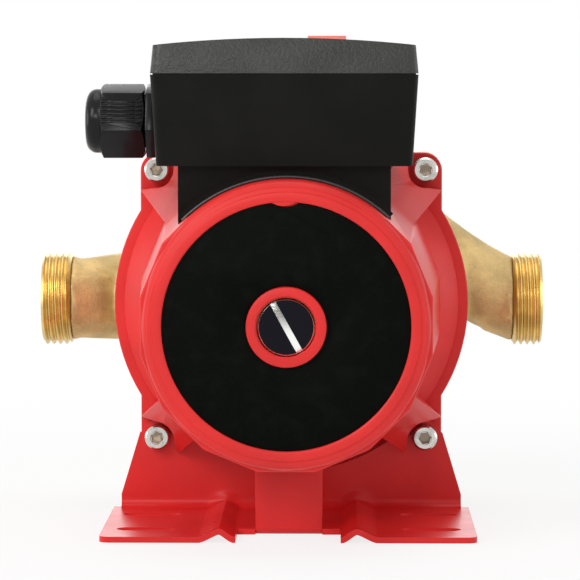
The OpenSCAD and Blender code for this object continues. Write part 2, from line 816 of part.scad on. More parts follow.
module gusset() {
    intersection() {
        up(joint_z) linear_extrude(gusset_high_z) polygon([
            [gusset_root_r, -gusset_w / 2], [gusset_reach, -gusset_w / 2],
            [gusset_reach - gusset_dip, -gusset_dip_half_w], [gusset_reach - gusset_dip, gusset_dip_half_w],
            [gusset_reach, gusset_w / 2], [gusset_root_r, gusset_w / 2]
        ]);
        rotate([90, 0, 0]) translate([0, 0, -gusset_w]) linear_extrude(2 * gusset_w) polygon([
            [gusset_root_r, joint_z], [gusset_reach, joint_z], [gusset_reach, gusset_low_z],
            [gusset_step_r, gusset_high_z], [gusset_root_r, gusset_high_z]
        ]);
    }
}

module front_ring() rotate_extrude() polygon([
    [cavity_r - over, body_front_z - cone_h], [ring_d / 2, body_front_z - cone_h],
    [ring_d / 2, ring_lip_z - ring_fillet - slice],
    for (i = [0 : 5]) let (turn = 90 * i / 5) [ring_d / 2 - ring_fillet + ring_fillet * cos(turn),
        ring_lip_z - ring_fillet + (ring_fillet - over) * sin(turn)],
    [ring_lip_r, ring_lip_z - over], [ring_lip_r, ring_lip_z], [recess_d / 2, ring_lip_z],
    [recess_d / 2, recess_z - over], [cavity_r - over, recess_z - over]
]);

module motor_housing() color(red) at_motor() difference() {
    union() {
        up(joint_z) linear_extrude(flange_t) flange_outline(0);
        up(seat_z) cylinder(h = cone_h, r1 = cone_d / 2, r2 = cone_top_r);
        body_shell(0);
        for (turn = [45 : 90 : 315]) rotate(turn) gusset();
        front_ring();
        up(recess_z - over) cylinder(h = over, r = cavity_r);
        up(cavity_end_z) cylinder(h = boss_z - cavity_end_z, r = boss_d / 2);
        up(recess_z - over) intersection() {
            cylinder(h = ring_lip_z - recess_z + over, r = ring_lip_r);
            translate([0, recess_d / 2 - key_depth + key_r, 0]) cylinder(h = ring_lip_z - recess_z + over, r = key_r);
        }
    }
    up(joint_z - over) cylinder(h = cavity_end_z - joint_z + over, r = cavity_r);
    up(cavity_end_z - over) cylinder(h = boss_z - cavity_end_z + 2 * over, r = vent_bore_r);
    at_screws(half_pitch) {
        up(joint_z - over) cylinder(h = flange_t + 2 * over, r = screw_clear_r);
        up(seat_z) cylinder(h = gusset_high_z, r = spot_r);
    }
    translate([block_x - lead_slot_w / 2, 0, lead_z - lead_slot_l / 2])
        cube([lead_slot_w, body_root_d / 2, lead_slot_l]);
    at_box_screws() rotate([-90, 0, 0])
        translate([0, 0, box_screw_end_z - axis_h - free_gap]) cylinder(h = body_root_d / 2, r = box_screw_r + running);
}

// The four screws that hold the box, upright in the motor's frame
module at_box_screws() for (x = [-1, 1], z = [neck_front_z() - box_screw_in, neck_front_z() - neck_l + box_screw_in])
    translate([x * box_screw_x, 0, z]) children();
function neck_front_z() = plate_z - neck_back;

module nameplate() color(black) at_motor() up(plate_z - plate_t) difference() {
    cylinder(h = plate_t, r = recess_d / 2 - running);
    up(-over) cylinder(h = plate_t + 2 * over, r = boss_d / 2 + running);
    translate([0, recess_d / 2 - key_depth + key_r, -over]) cylinder(h = plate_t + 2 * over, r = key_r + running);
}

module socket_screw() {
    difference() {
        union() {
            mirror([0, 0, 1]) cylinder(h = screw_l, r = screw_d / 2);
            cylinder(h = screw_head_h - screw_chamfer, r = screw_head_d / 2);
            up(screw_head_h - screw_chamfer)
                cylinder(h = screw_chamfer, r1 = screw_head_d / 2, r2 = screw_head_d / 2 - screw_chamfer);
        }
        up(screw_head_h - screw_hex_h) hexagon(screw_hex, screw_hex_h + over);
    }
}

module flange_screws() color(steel) at_motor() for (x = [-1, 1], y = [-1, 1])
    translate([x * half_pitch, y * half_pitch, seat_z + seat + (y < 0 ? sheet_t : 0)]) socket_screw();

// Section of one stiffening bead across the sheet, with its left end at the sheet's flat
module bead_section() polygon([
    [bead_in_x, 0], [bead_peak_x, bead_h], [bead_out_x, 0],
    [bead_out_x, sheet_t], [bead_peak_x, bead_h + sheet_t], [bead_in_x, sheet_t]
]);

module foot_sheet() difference() {
    translate([0, -foot_front]) difference() {
        union() {
            translate([-foot_w / 2, foot_corner_r]) square([foot_w, foot_front + foot_back_y - foot_corner_r]);
            translate([foot_corner_r - foot_w / 2, 0]) square([foot_w - 2 * foot_corner_r, foot_corner_r]);
            both_sides() translate([foot_w / 2 - foot_corner_r, foot_corner_r]) circle(r = foot_corner_r);
        }
        translate([-notch_w / 2, -over]) square([notch_w, notch_l + over]);
    }
    translate([-upright_w / 2, bend_y]) square([upright_w, foot_back_y - bend_y + over]);
    both_sides() translate([bead_in_x, -foot_front - over])
        square([bead_out_x - bead_in_x, foot_front + foot_back_y + 2 * over]);
    for (x = [-1, 1], y = [-1, 1]) translate([x * slot_spacing_x / 2, y * slot_spacing_y / 2]) {
        square([slot_l - slot_w, slot_w], center = true);
        for (end = [-1, 1]) translate([end * (slot_l - slot_w) / 2, 0]) circle(r = slot_w / 2);
    }
    translate([-tongue_w / 2, tongue_y - over]) square([tongue_w, tongue_bend_r + over]);
}

module upright_sheet() difference() {
    union() {
        difference() {
            polygon([
                [-upright_w / 2, bend_z], [upright_w / 2, bend_z], [upright_w / 2, slope_foot_z],
                [upright_top_w / 2, slope_top_z], [half_pitch, ear_z], [-half_pitch, ear_z],
                [-upright_top_w / 2, slope_top_z], [-upright_w / 2, slope_foot_z]
            ]);
            translate([0, axis_h]) circle(r = upright_arc_r);
            translate([0, axis_h]) for (turn = [225, 315]) rotate(turn) translate([0, -gusset_w / 2 - relief])
                polygon([
                    [gusset_root_r, 0], [gusset_reach + 2 * relief, 0],
                    [gusset_reach + relief - gusset_dip, gusset_w / 2 - gusset_dip_half_w + relief],
                    [gusset_reach + relief - gusset_dip, gusset_w / 2 + gusset_dip_half_w + relief],
                    [gusset_reach + 2 * relief, gusset_w + 2 * relief], [gusset_root_r, gusset_w + 2 * relief]
                ]);
        }
        for (x = [-1, 1]) translate([x * half_pitch, ear_z]) circle(r = ear_r);
    }
    for (x = [-1, 1]) translate([x * half_pitch, ear_z]) circle(r = screw_clear_r);
}

// The bent corner of the sheet, as a quarter turn of its section about the bend's axis
module rear_bend() translate([0, bend_y, bend_z]) rotate([0, 90, 0]) rotate_extrude(angle = 90)
    children();

module support_bracket() color(red) {
    linear_extrude(sheet_t) foot_sheet();
    translate([0, foot_back_y, 0]) rotate([90, 0, 0]) linear_extrude(sheet_t) upright_sheet();
    rear_bend() difference() {
        translate([bend_r, -upright_w / 2]) square([sheet_t, upright_w]);
        for (side = [-1, 1]) translate([0, side * (bead_in_x + bead_out_x) / 2])
            square([2 * bend_z, bead_out_x - bead_in_x], center = true);
    }
    both_sides() {
        translate([0, bend_y, 0]) rotate([90, 0, 0]) linear_extrude(bend_y + foot_front) bead_section();
        rear_bend() rotate(90) mirror([1, 0]) translate([0, -bend_z]) bead_section();
        hull() {
            translate([0, foot_back_y, bend_z]) mirror([0, 1, 0]) linear_extrude(slice) bead_section();
            translate([bead_in_x, upright_y, bend_z + bead_fade_l]) cube([bead_out_x - bead_in_x, sheet_t, slice]);
        }
    }
    translate([-tongue_w / 2, tongue_y, 0]) rotate([90, 0, 90]) linear_extrude(tongue_w) {
        translate([0, tongue_bend_r])
            square([sheet_t, axis_h - body_flat(pipe_back - tongue_y) - free_gap - tongue_bend_r]);
        intersection() {
            translate([tongue_bend_r, tongue_bend_r]) circle(r = tongue_bend_r);
            square(tongue_bend_r);
        }
    }
}

module box_shape(inset, h) {
    lean = (box_w - box_floor_w) / 2;
    drafted_box(box_floor_w - 2 * inset, box_l - 2 * lean - 2 * inset, box_w - 2 * inset,
                box_l - 2 * inset, h, box_corner_r - inset / 2);
}

module at_lid_posts() for (x = [-1, 1], y = [-1, 1])
    translate([box_x + x * (box_w / 2 - post_in), box_y + y * (box_l / 2 - post_in), 0]) children();

// Half the box's width at a height above the motor axis
function box_half_w(z) = (box_floor_w + (box_w - box_floor_w) * (z - box_z) / (seam_z - box_z)) / 2;

module terminal_box() color(black) difference() {
    union() {
        difference() {
            translate([box_x, box_y, axis_h + box_z]) box_shape(0, box_h);
            translate([box_x, box_y, floor_z]) box_shape(box_wall, box_h);
        }
        difference() {
            translate([box_x - neck_w / 2, neck_y - neck_l / 2, axis_h + neck_z])
                cube([neck_w, neck_l, box_z - neck_z + box_wall]);
            translate([box_x - neck_w / 2 + box_wall, neck_y - neck_l / 2 + box_wall, axis_h])
                cube([neck_w - 2 * box_wall, neck_l - 2 * box_wall, box_z]);
        }
        at_motor() at_box_screws() rotate([-90, 0, 0]) up(neck_z) cylinder(h = box_z - neck_z + over, r = box_post_r);
        intersection() {
            at_lid_posts() up(axis_h + box_z + over) cylinder(h = box_h - over, r = post_r);
            translate([box_x, box_y, axis_h + box_z]) box_shape(0, box_h);
        }
        at_gland() mirror([0, 0, 1]) cylinder(h = pad_l, r = pad_r);
    }
    at_motor() body_shell(free_gap);
    at_motor() at_box_screws() rotate([-90, 0, 0]) cylinder(h = box_z + box_wall + over, r = box_screw_r + running);
    at_motor() translate([block_x - lead_slot_w / 2, box_z - over, lead_z - lead_slot_l / 2])
        cube([lead_slot_w, box_wall + 2 * over, lead_slot_l]);
    at_lid_posts() up(axis_h + seam_z - lid_screw_l) cylinder(h = lid_screw_l + over, r = lid_screw_r + running);
    at_gland() up(-gland_stub_l) cylinder(h = gland_stub_l + over, r = gland_r + running);
}

module box_screws() color(steel) at_motor() at_box_screws() rotate([-90, 0, 0]) {
    up(box_z + box_wall + seat) cylinder(h = box_screw_head_h, r = box_screw_head_r);
    up(box_screw_end_z - axis_h) cylinder(h = box_z + box_wall + over - box_screw_end_z + axis_h, r = box_screw_r);
}

module crown(inset) translate([box_x, box_y + box_l, axis_h + lid_side_z + lid_crown - crown_r])
    rotate([90, 0, 0]) cylinder(h = 2 * box_l, r = crown_r - inset, $fn = 256);

module lid_shape(inset, h) {
    lean = lid_lean * h / lid_h;
    drafted_box(box_w - 2 * inset, box_l - 2 * inset, box_w - 2 * inset - 2 * lean,
                box_l - 2 * inset - 2 * lean, h, box_corner_r - inset / 2);
}

module at_switch() translate([switch_x, pipe_back - switch_z, axis_h]) children();

module terminal_lid() color(black) difference() {
    union() {
        difference() {
            intersection() {
                translate([box_x, box_y, lid_z]) lid_shape(0, lid_h);
                crown(0);
            }
            intersection() {
                translate([box_x, box_y, lid_z - over]) lid_shape(box_wall, lid_h);
                crown(lid_top_t);
            }
        }
        intersection() {
            at_lid_posts() up(lid_z) cylinder(h = lid_side_h, r = post_r);
            translate([box_x, box_y, lid_z]) lid_shape(0, lid_h);
            crown(0);
        }
    }
    at_lid_posts() up(lid_z - over) cylinder(h = lid_h + 2 * over, r = lid_screw_r + running);
    at_lid_posts() up(lid_z + lid_side_h - lid_screw_sink) cylinder(h = lid_h, r = lid_screw_head_r + free_gap);
    at_switch() {
        up(bezel_top - bezel_t - seat) linear_extrude(bezel_t + over)
            square([bezel_w, bezel_l] + 2 * switch_pocket_gap * [1, 1], center = true);
        up(seam_z) linear_extrude(lid_h) square([switch_body_w(), switch_body_l()]
            + 2 * switch_pocket_gap * [1, 1], center = true);
    }
}
function switch_body_w() = rocker_w + 2 * free_gap + 2 * switch_wall;
function switch_body_l() = 2 * rocker_r + 2 * free_gap + 2 * switch_wall;

module lid_gasket() color(rubber) translate([box_x, box_y, axis_h + seam_z]) linear_extrude(seam_gap) difference() {
    rounded_rect(box_w - 2 * gasket_in, box_l - 2 * gasket_in, box_corner_r - gasket_in / 2);
    rounded_rect(box_w - 2 * gasket_in - 2 * gasket_w, box_l - 2 * gasket_in - 2 * gasket_w,
                 box_corner_r - gasket_in);
}

module lid_screws() color(steel) at_lid_posts() {
    head_z = lid_z + lid_side_h - lid_screw_sink + seat;
    difference() {
        up(head_z) cylinder(h = lid_screw_head_h, r = lid_screw_head_r);
        for (turn = [0, 90]) up(head_z + lid_screw_head_h / 2) rotate(turn)
            linear_extrude(lid_screw_head_h) square([lid_screw_head_r, lid_screw_r / 2], center = true);
    }
    up(head_z + over - lid_screw_l) cylinder(h = lid_screw_l, r = lid_screw_r);
}

// The terminal block stands on the box's floor, with its wires entering from the front
module at_block() translate([block_x, pipe_back - block_z, floor_z + seat]) children();
module at_poles() for (i = [0 : poles - 1]) translate([(i - (poles - 1) / 2) * pole_pitch, 0, 0]) children();

module terminal_block() color(ivory) at_block() difference() {
    union() {
        translate([-block_w / 2, -block_l / 2, 0]) cube([block_w, block_l, block_h - barrier_h]);
        for (i = [0 : poles]) translate([(i - poles / 2) * pole_pitch - barrier_w / 2, -block_l / 2, 0])
            cube([barrier_w, block_l, block_h]);
    }
    at_poles() up(block_h - barrier_h - pole_deep) cylinder(h = block_h, r = pole_r, $fn = hull_fn);
    at_poles() translate([0, -block_l / 2 - over, wire_hole_h]) rotate([-90, 0, 0])
        cylinder(h = block_l / 2, r = wire_hole_r, $fn = hull_fn);
}

module terminal_screws() color(brass) at_block() at_poles() difference() {
    up(block_h - barrier_h - pole_deep + seat) cylinder(h = pole_screw_h, r = pole_screw_r, $fn = hull_fn);
    up(block_h - barrier_h - pole_deep + pole_screw_h * 2 / 3)
        linear_extrude(pole_screw_h) square([2 * pole_r, barrier_w / 2], center = true);
}

module at_capacitor() at_motor() translate([cap_x, box_z + cap_y, cap_z]) children();

module capacitor() color(ivory) at_capacitor() {
    cylinder(h = cap_l, r = cap_r);
    for (side = [-1, 1]) translate([side * cap_tab_x - cap_tab_w / 2, -cap_tab_t / 2, cap_l])
        cube([cap_tab_w, cap_tab_t, cap_tab_l]);
}

module capacitor_clip() color(steel) at_motor() translate([cap_x, box_z + cap_y, clip_z]) linear_extrude(clip_w)
difference() {
    union() {
        circle(r = cap_r + seat + clip_t);
        translate([-clip_foot_w / 2, -cap_r - clip_t - seat]) square([clip_foot_w, clip_foot_t]);
    }
    circle(r = cap_r + seat);
}

module switch_body() color(black) at_switch() difference() {
    union() {
        up(bezel_top - bezel_t) linear_extrude(bezel_t) rounded_rect(bezel_w, bezel_l, over);
        up(bezel_top - switch_h) linear_extrude(switch_h)
            square([switch_body_w(), switch_body_l()], center = true);
    }
    up(bezel_top - switch_h + switch_floor) linear_extrude(switch_h)
        square([rocker_w, 2 * rocker_r] + 2 * free_gap * [1, 1], center = true);
    up(rocker_pin_z) rotate([0, 90, 0]) translate([0, 0, -rocker_w / 2 - free_gap - pin_l])
        cylinder(h = rocker_w + 2 * free_gap + 2 * pin_l, r = pin_r + running);
}

module switch_tabs() color(brass) at_switch() for (side = [-1, 1])
    translate([-tab_w / 2, side * tab_pitch - tab_t / 2, bezel_top - switch_h - tab_l - seat])
        cube([tab_w, tab_t, tab_l]);

// The rocker's top is a shallow valley; tilted, one half lies level and the other stands up
module switch_rocker() color(orange) at_switch() up(rocker_pin_z) rotate([rocker_tilt, 0, 0]) {
    rotate([90, 0, 90]) translate([0, 0, -rocker_w / 2]) linear_extrude(rocker_w) intersection() {
        circle(r = rocker_r);
        polygon([
            [-rocker_r, -rocker_foot], [rocker_r, -rocker_foot],
            [rocker_r, rocker_dip + rocker_r * tan(rocker_tilt)], [0, rocker_dip],
            [-rocker_r, rocker_dip + rocker_r * tan(rocker_tilt)]
        ]);
    }
    rotate([0, 90, 0]) translate([0, 0, -rocker_w / 2 - free_gap - pin_l + running])
        cylinder(h = rocker_w + 2 * (free_gap + pin_l - running), r = pin_r);
}

module gland_body() color(black) at_gland() difference() {
    union() {
        up(-gland_stub_l) cylinder(h = gland_stub_l + gland_collar_l + gland_thread_l, r = gland_r);
        up(seat) rotate(gland_turn) hexagon(gland_af, gland_collar_l - seat);
    }
    up(-gland_stub_l - over) cylinder(h = gland_stub_l + gland_collar_l + gland_thread_l + 2 * over, r = gland_bore_r);
    up(gland_collar_l) cylinder(h = gland_thread_l + over, r = gland_seal_r + free_gap);
}

module gland_locknut() color(black) at_gland() up(-pad_l - locknut_h - seat) rotate(30) difference() {
    hexagon(locknut_af, locknut_h);
    up(-over) cylinder(h = locknut_h + 2 * over, r = gland_r + running);
}

nut_start = gland_collar_l + gland_nut_gap;
seal_in = 2.5;
seal_start = gland_collar_l + seal_in;

module gland_seal() color(rubber) at_gland() up(seal_start)
    tube(gland_seal_r, seal_hole_d / 2, gland_seal_l);

module gland_nut() color(black) at_gland() up(nut_start) difference() {
    union() {
        intersection() {
            rotate(gland_turn) hexagon(gland_af, gland_hex_l);
            union() {
                cylinder(h = nut_chamfer, r1 = gland_af / 2, r2 = gland_af / 2 + 2 * nut_chamfer);
                up(nut_chamfer) cylinder(h = gland_hex_l - 2 * nut_chamfer, r = gland_af / 2 + 2 * nut_chamfer);
                up(gland_hex_l - nut_chamfer)
                    cylinder(h = nut_chamfer, r1 = gland_af / 2 + 2 * nut_chamfer, r2 = gland_af / 2);
            }
        }
        for (turn = [0 : 120 : 240]) rotate(gland_turn + turn + 30) for (i = [0 : ribs - 1])
            translate([gland_af / 2 - rib_h, (i - (ribs - 1) / 2) * rib_pitch - rib_w / 2, (gland_hex_l - rib_l) / 2])
                cube([2 * rib_h, rib_w, rib_l]);
        up(gland_hex_l - over) rotate_extrude() {
            square([dome_d / 2 - dome_round, dome_l + over]);
            square([dome_d / 2, dome_l + over - dome_round]);
            translate([dome_d / 2 - dome_round, dome_l + over - dome_round]) circle(r = dome_round, $fn = hull_fn);
        }
    }
    up(-over) cylinder(h = gland_thread_l + free_gap + over, r = gland_r + running);
    cylinder(h = seal_start + gland_seal_l + seat - nut_start, r = gland_seal_r + free_gap);
    cylinder(h = gland_hex_l + dome_l + over, r = cable_hole_d / 2);
}

module shaft() color(steel) at_motor() difference() {
    union() {
        up(impeller_back_z + seat) cylinder(h = shaft_front_z - impeller_back_z - seat, r = shaft_r);
        up(stub_end_z) cylinder(h = impeller_back_z - stub_end_z + over, r = stub_r);
    }
    up(stub_end_z - over) cylinder(h = shaft_front_z - stub_end_z + 2 * over, r = shaft_bore_r, $fn = hull_fn);
}

module thrust_ring() color(rubber) at_motor() up(thrust_z0)
    tube(thrust_r, shaft_r + seat, sleeve_z0 - sleeve_end_t - thrust_z0 - seat);

module rotor_core() color(dark_steel) at_motor() up(rotor_z0) linear_extrude(rotor_l) difference() {
    circle(r = rotor_r);
    circle(r = shaft_r + seat);
    around(cage_bars) translate([cage_bar_ring_r, 0]) circle(r = cage_bar_r + seat, $fn = hull_fn);
}

module rotor_cage() color(steel) at_motor() {
    up(rotor_z0 - over) linear_extrude(rotor_l + 2 * over)
        around(cage_bars) translate([cage_bar_ring_r, 0]) circle(r = cage_bar_r, $fn = hull_fn);
    for (z = [rotor_z0 - cage_ring_h, rotor_z1 + seat]) up(z) tube(rotor_r - over / 2, cage_ring_in_r, cage_ring_h - seat);
}

module rotor_sleeve() color(steel) at_motor() difference() {
    up(sleeve_z0 - sleeve_end_t) cylinder(h = sleeve_z1 - sleeve_z0 + 2 * sleeve_end_t, r = rotor_r + seat + sleeve_t);
    up(sleeve_z0) cylinder(h = sleeve_z1 - sleeve_z0, r = rotor_r + seat);
    up(sleeve_z0 - over - sleeve_end_t)
        cylinder(h = sleeve_z1 - sleeve_z0 + 2 * sleeve_end_t + 2 * over, r = shaft_r + seat);
}

// Closed impeller with backward-curved blades; its eye looks back into the suction passage
module impeller() color(ivory) at_motor() difference() {
    union() {
        up(impeller_back_z - impeller_disc_t) cylinder(h = impeller_disc_t, r = impeller_r);
        up(impeller_front_z) tube(impeller_r, neck_in_r, shroud_t);
        up(neck_end_z) tube(neck_out_r, neck_in_r, impeller_front_z - neck_end_z + slice);
        up(impeller_front_z + seat) cylinder(h = impeller_back_z - impeller_front_z - seat, r = hub_r);
        up(impeller_front_z) linear_extrude(impeller_back_z - impeller_front_z - slice) intersection() {
            difference() {
                circle(r = impeller_r);
                circle(r = neck_in_r);
            }
            around(blades) translate([blade_arc_off, 0]) difference() {
                circle(r = blade_arc_r);
                circle(r = blade_arc_r - blade_t);
                translate([-impeller_d, 0]) square([2 * impeller_d, impeller_d]);
            }
        }
    }
    up(neck_end_z - over) cylinder(h = impeller_back_z - neck_end_z + 2 * over, r = stub_r + seat);
}

module impeller_nut() color(brass) at_motor() up(impeller_front_z - nut_h) difference() {
    hexagon(nut_af, nut_h);
    up(-over) cylinder(h = nut_h + 2 * over, r = stub_r + seat);
}

module vent_seal() color(rubber) at_motor() up(bush_z1 + seat) tube(vent_seal_r, vent_seal_in_r, vent_seal_t);

module vent_plug() color(steel) at_motor() up(plug_z) difference() {
    union() {
        mirror([0, 0, 1]) cylinder(h = plug_thread_l, r = plug_thread_d / 2);
        cylinder(h = plug_head_h - plug_chamfer, r = plug_d / 2);
        up(plug_head_h - plug_chamfer) cylinder(h = plug_chamfer, r1 = plug_d / 2, r2 = plug_d / 2 - plug_chamfer);
    }
    up(plug_head_h - plug_slot_h) rotate(plug_slot_turn) linear_extrude(plug_slot_h + over)
        square([plug_slot_w, plug_d + 2 * over], center = true);
}

pump_casing();
wear_ring();
bearing_plate();
rear_bearing();
casing_oring();
rotor_can();
front_bearing_holder();
front_bearing();
can_bush();
can_oring();
stator_core();
stator_windings();
motor_leads();
motor_housing();
nameplate();
flange_screws();
support_bracket();
terminal_box();
box_screws();
terminal_lid();
lid_gasket();
lid_screws();
terminal_block();
terminal_screws();
capacitor();
capacitor_clip();
switch_body();
switch_tabs();
gland_body();
gland_locknut();
shaft();
thrust_ring();
rotor_core();
rotor_cage();
rotor_sleeve();
impeller();
impeller_nut();
switch_rocker();
vent_seal();
vent_plug();
gland_seal();
gland_nut();
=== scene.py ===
"""Dresses the shower pump: cast brass casing, red motor on a sheet-steel foot, black terminal box."""
import math
from contextlib import contextmanager

import bpy
from bpy.props import FloatProperty, FloatVectorProperty, IntProperty, PointerProperty
from bpy.types import Operator, Panel, PropertyGroup
from mathutils import Matrix, Vector


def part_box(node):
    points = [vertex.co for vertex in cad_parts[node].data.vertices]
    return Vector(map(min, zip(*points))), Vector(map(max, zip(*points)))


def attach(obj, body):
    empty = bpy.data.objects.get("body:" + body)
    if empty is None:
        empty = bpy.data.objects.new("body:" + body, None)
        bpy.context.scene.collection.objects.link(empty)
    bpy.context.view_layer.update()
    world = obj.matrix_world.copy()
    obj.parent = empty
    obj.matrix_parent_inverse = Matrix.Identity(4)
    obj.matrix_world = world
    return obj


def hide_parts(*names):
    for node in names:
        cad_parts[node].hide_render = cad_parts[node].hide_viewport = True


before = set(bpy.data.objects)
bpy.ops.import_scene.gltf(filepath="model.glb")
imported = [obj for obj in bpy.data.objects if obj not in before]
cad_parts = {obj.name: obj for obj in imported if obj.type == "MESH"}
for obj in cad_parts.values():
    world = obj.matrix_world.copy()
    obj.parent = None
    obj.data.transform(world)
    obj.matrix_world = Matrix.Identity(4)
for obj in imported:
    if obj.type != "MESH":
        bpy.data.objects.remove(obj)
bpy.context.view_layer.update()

bl_info = {
    "name": "Shower pump",
    "version": (1, 0, 0),
    "blender": (4, 5, 0),
    "location": "3D View > Sidebar > Pump",
    "description": "Builds the visible pieces of an in-line shower pump round its CAD frame",
    "category": "Object",
}

MM = 0.001
FULL_TURN = 2 * math.pi
HERE = Matrix.Identity(4)

# Sizes and places below are in millimetres until they are multiplied by MM
PIPE_BACK, AXIS_H = 60.5, 75.0
PIPE_AXIS = Matrix.Translation((0, PIPE_BACK * MM, AXIS_H * MM))
# The motor's own frame: x along the pipes, y up, z forward from the pipe axis
MOTOR = PIPE_AXIS @ Matrix.Rotation(math.radians(90), 4, "X")

# Motor casting
FLANGE_R, FLANGE_BACK, FLANGE_FRONT = 62.9, 15.0, 23.0
LUG_HALF, LUG_CORNER = 53.5, 6.4
SCREW_REACH, SCREW_HOLE_R = 47.5, 2.75
SCREW_PLACES = [(x, y) for y in (-SCREW_REACH, SCREW_REACH) for x in (-SCREW_REACH, SCREW_REACH)]
GUSSET_HALF, GUSSET_REACH, GUSSET_DIP, GUSSET_DIP_HALF = 9.2, 66.1, 3.1, 4.5
BODY_BACK, BODY_FRONT, BODY_ROOT_R, BODY_FRONT_R = 23.0, 127.0, 54.0, 48.2
RING_ROOT, LIP_Z, PAST_FRONT = 119.0, 131.0, 140.0
CREST_Z, CREST_H = 126.6, 3.1

# Pump casing and its ports
PORT_BORE_R, THREAD_START, THREAD_L = 11.5, 79.5, 10.5

# Sheet-steel foot
SHEET_T = 2.0
FOOT_FRONT, FOOT_HALF, UPRIGHT_HALF, TONGUE_HALF = -36.2, 63.3, 60.5, 11.4
UPRIGHT_FROM, UPRIGHT_MID, UPRIGHT_BACK, UPRIGHT_PAST = 33.6, 36.5, 37.5, 45.0
BEAD_START, BEAD_PEAK, BEAD_END, BEAD_H = 18.3, 23.0, 29.8, 2.85

# The part of the ring that the neck of the terminal box hugs, in degrees
NECK_START, NECK_END = 46.2, 135.2

# Strength of the world as a light; it shows as white
AMBIENT = 0.34


# Sizes and colours that a user would change
def length_setting(name, description, size):
    """A length that is typed in millimetres."""
    return FloatProperty(name=name, description=description, default=size * MM, unit="LENGTH")


def colour_setting(name, description, colour):
    """A base colour."""
    return FloatVectorProperty(name=name, description=description, default=colour, subtype="COLOR")


class PumpSizes(PropertyGroup):
    """Sizes that the dressing adds to the CAD"""

    casting_edge: length_setting("Casting edge", "Edge radius of the motor casting", 0.7)
    facet_edge: length_setting("Facet edge", "Edge radius between the motor body's facets", 0.6)
    plastic_edge: length_setting("Plastic edge", "Edge radius of the plastic mouldings", 0.45)
    sheet_edge: length_setting("Sheet edge", "Edge radius of the painted steel sheet", 0.4)
    thread_pitch: length_setting("Port thread pitch", "Pitch of the thread, eleven to the inch", 2.309)
    thread_depth: length_setting("Port thread depth", "Depth of the pipe thread", 1.3)
    casting_grain: length_setting("Casting voxel", "Voxel that smooths the sand-cast casing", 1.1)
    knurls: IntProperty(name="Knurls", description="Ridges round each screw head", default=36, min=12)


class PumpColours(PropertyGroup):
    """Base colours of the finishes"""

    motor_red: colour_setting("Motor red", "Paint of the motor casting", (0.70, 0.028, 0.026))
    foot_red: colour_setting("Foot red", "Paint of the foot bracket", (0.72, 0.026, 0.026))
    moulding: colour_setting("Black moulding", "Terminal box and lid", (0.008, 0.008, 0.0068))
    gland: colour_setting("Gland black", "Cable gland", (0.008, 0.008, 0.009))
    plate: colour_setting("Plate black", "Nameplate", (0.0018, 0.0024, 0.0016))
    brass: colour_setting("Cast brass", "Pump casing", (0.60, 0.44, 0.19))
    bright_brass: colour_setting("Machined brass", "Threads of the ports", (0.74, 0.53, 0.20))
    steel: colour_setting("Steel", "Screws and turned steel", (0.62, 0.61, 0.57))
    rocker: colour_setting("Rocker", "Rocker of the switch", (0.80, 0.10, 0.035))


# Modelling helpers
def deselect():
    """Leaves edit mode and selects nothing."""
    active = bpy.context.object
    if active is not None and active.mode != "OBJECT":
        bpy.ops.object.mode_set(mode="OBJECT")
    bpy.ops.object.select_all(action="DESELECT")


def take(piece):
    """Makes a piece the only one selected."""
    deselect()
    piece.select_set(True)
    bpy.context.view_layer.objects.active = piece


def added(name):
    """Names the primitive that was just added."""
    piece = bpy.context.object
    piece.name = piece.data.name = name
    return piece


@contextmanager
def editing(piece, kind="FACE", everything=False):
    """Edit mode on one piece, with nothing or everything selected in it."""
    take(piece)
    bpy.ops.object.mode_set(mode="EDIT")
    bpy.ops.mesh.select_mode(type=kind)
    bpy.ops.mesh.select_all(action="SELECT" if everything else "DESELECT")
    yield piece
    bpy.ops.object.mode_set(mode="OBJECT")


def without_edges(piece, test):
    """Deletes the edges whose two end points pass a test."""
    with editing(piece, "EDGE"):
        pass
    points = piece.data.vertices
    for edge in piece.data.edges:
        edge.select = test([points[index] for index in edge.vertices])
    bpy.ops.object.mode_set(mode="EDIT")
    bpy.ops.mesh.delete(type="EDGE")
    bpy.ops.object.mode_set(mode="OBJECT")


def settle(piece):
    """Writes a piece's place into its mesh."""
    take(piece)
    bpy.ops.object.transform_apply(location=True, rotation=True, scale=True)
    return piece


def outwards(piece, merge=0.002 * MM):
    """Merges doubled points and turns every face outwards."""
    with editing(piece, "VERT", everything=True):
        bpy.ops.mesh.remove_doubles(threshold=merge)
        bpy.ops.mesh.normals_make_consistent(inside=False)
    return piece


def modified(piece, kind, **settings):
    """Adds a modifier and applies it."""
    take(piece)
    modifier = piece.modifiers.new(kind.title(), kind)
    for key, value in settings.items():
        setattr(modifier, key, value)
    bpy.ops.object.modifier_apply(modifier=modifier.name)
    return piece


def rounded(piece, width, angle, segments):
    """Rounds the edges of a piece that turn by more than an angle in degrees."""
    return modified(piece, "BEVEL", width=width, segments=segments, limit_method="ANGLE",
                    angle_limit=math.radians(angle), use_clamp_overlap=True, harden_normals=False)


def combined(piece, others, operation):
    """Joins, cuts or intersects a piece with others, which go."""
    for other in others:
        modified(piece, "BOOLEAN", operation=operation, solver="MANIFOLD", object=other)
        bpy.data.objects.remove(other)
    return piece


def arc(centre_x, centre_y, radius, start, end, steps):
    """Points along a circular arc, from one angle in degrees to another."""
    angles = [math.radians(start + (end - start) * i / steps) for i in range(steps + 1)]
    return [(centre_x + radius * math.cos(a), centre_y + radius * math.sin(a)) for a in angles]


def circle(x, y, radius, sides):
    """Points round a circle, each once."""
    return arc(x, y, radius, 0, 360 - 360 / sides, sides - 1)


def rotated(turn, points):
    """Points turned about the origin by degrees."""
    c, s = math.cos(math.radians(turn)), math.sin(math.radians(turn))
    return [(x * c - y * s, x * s + y * c) for x, y in points]


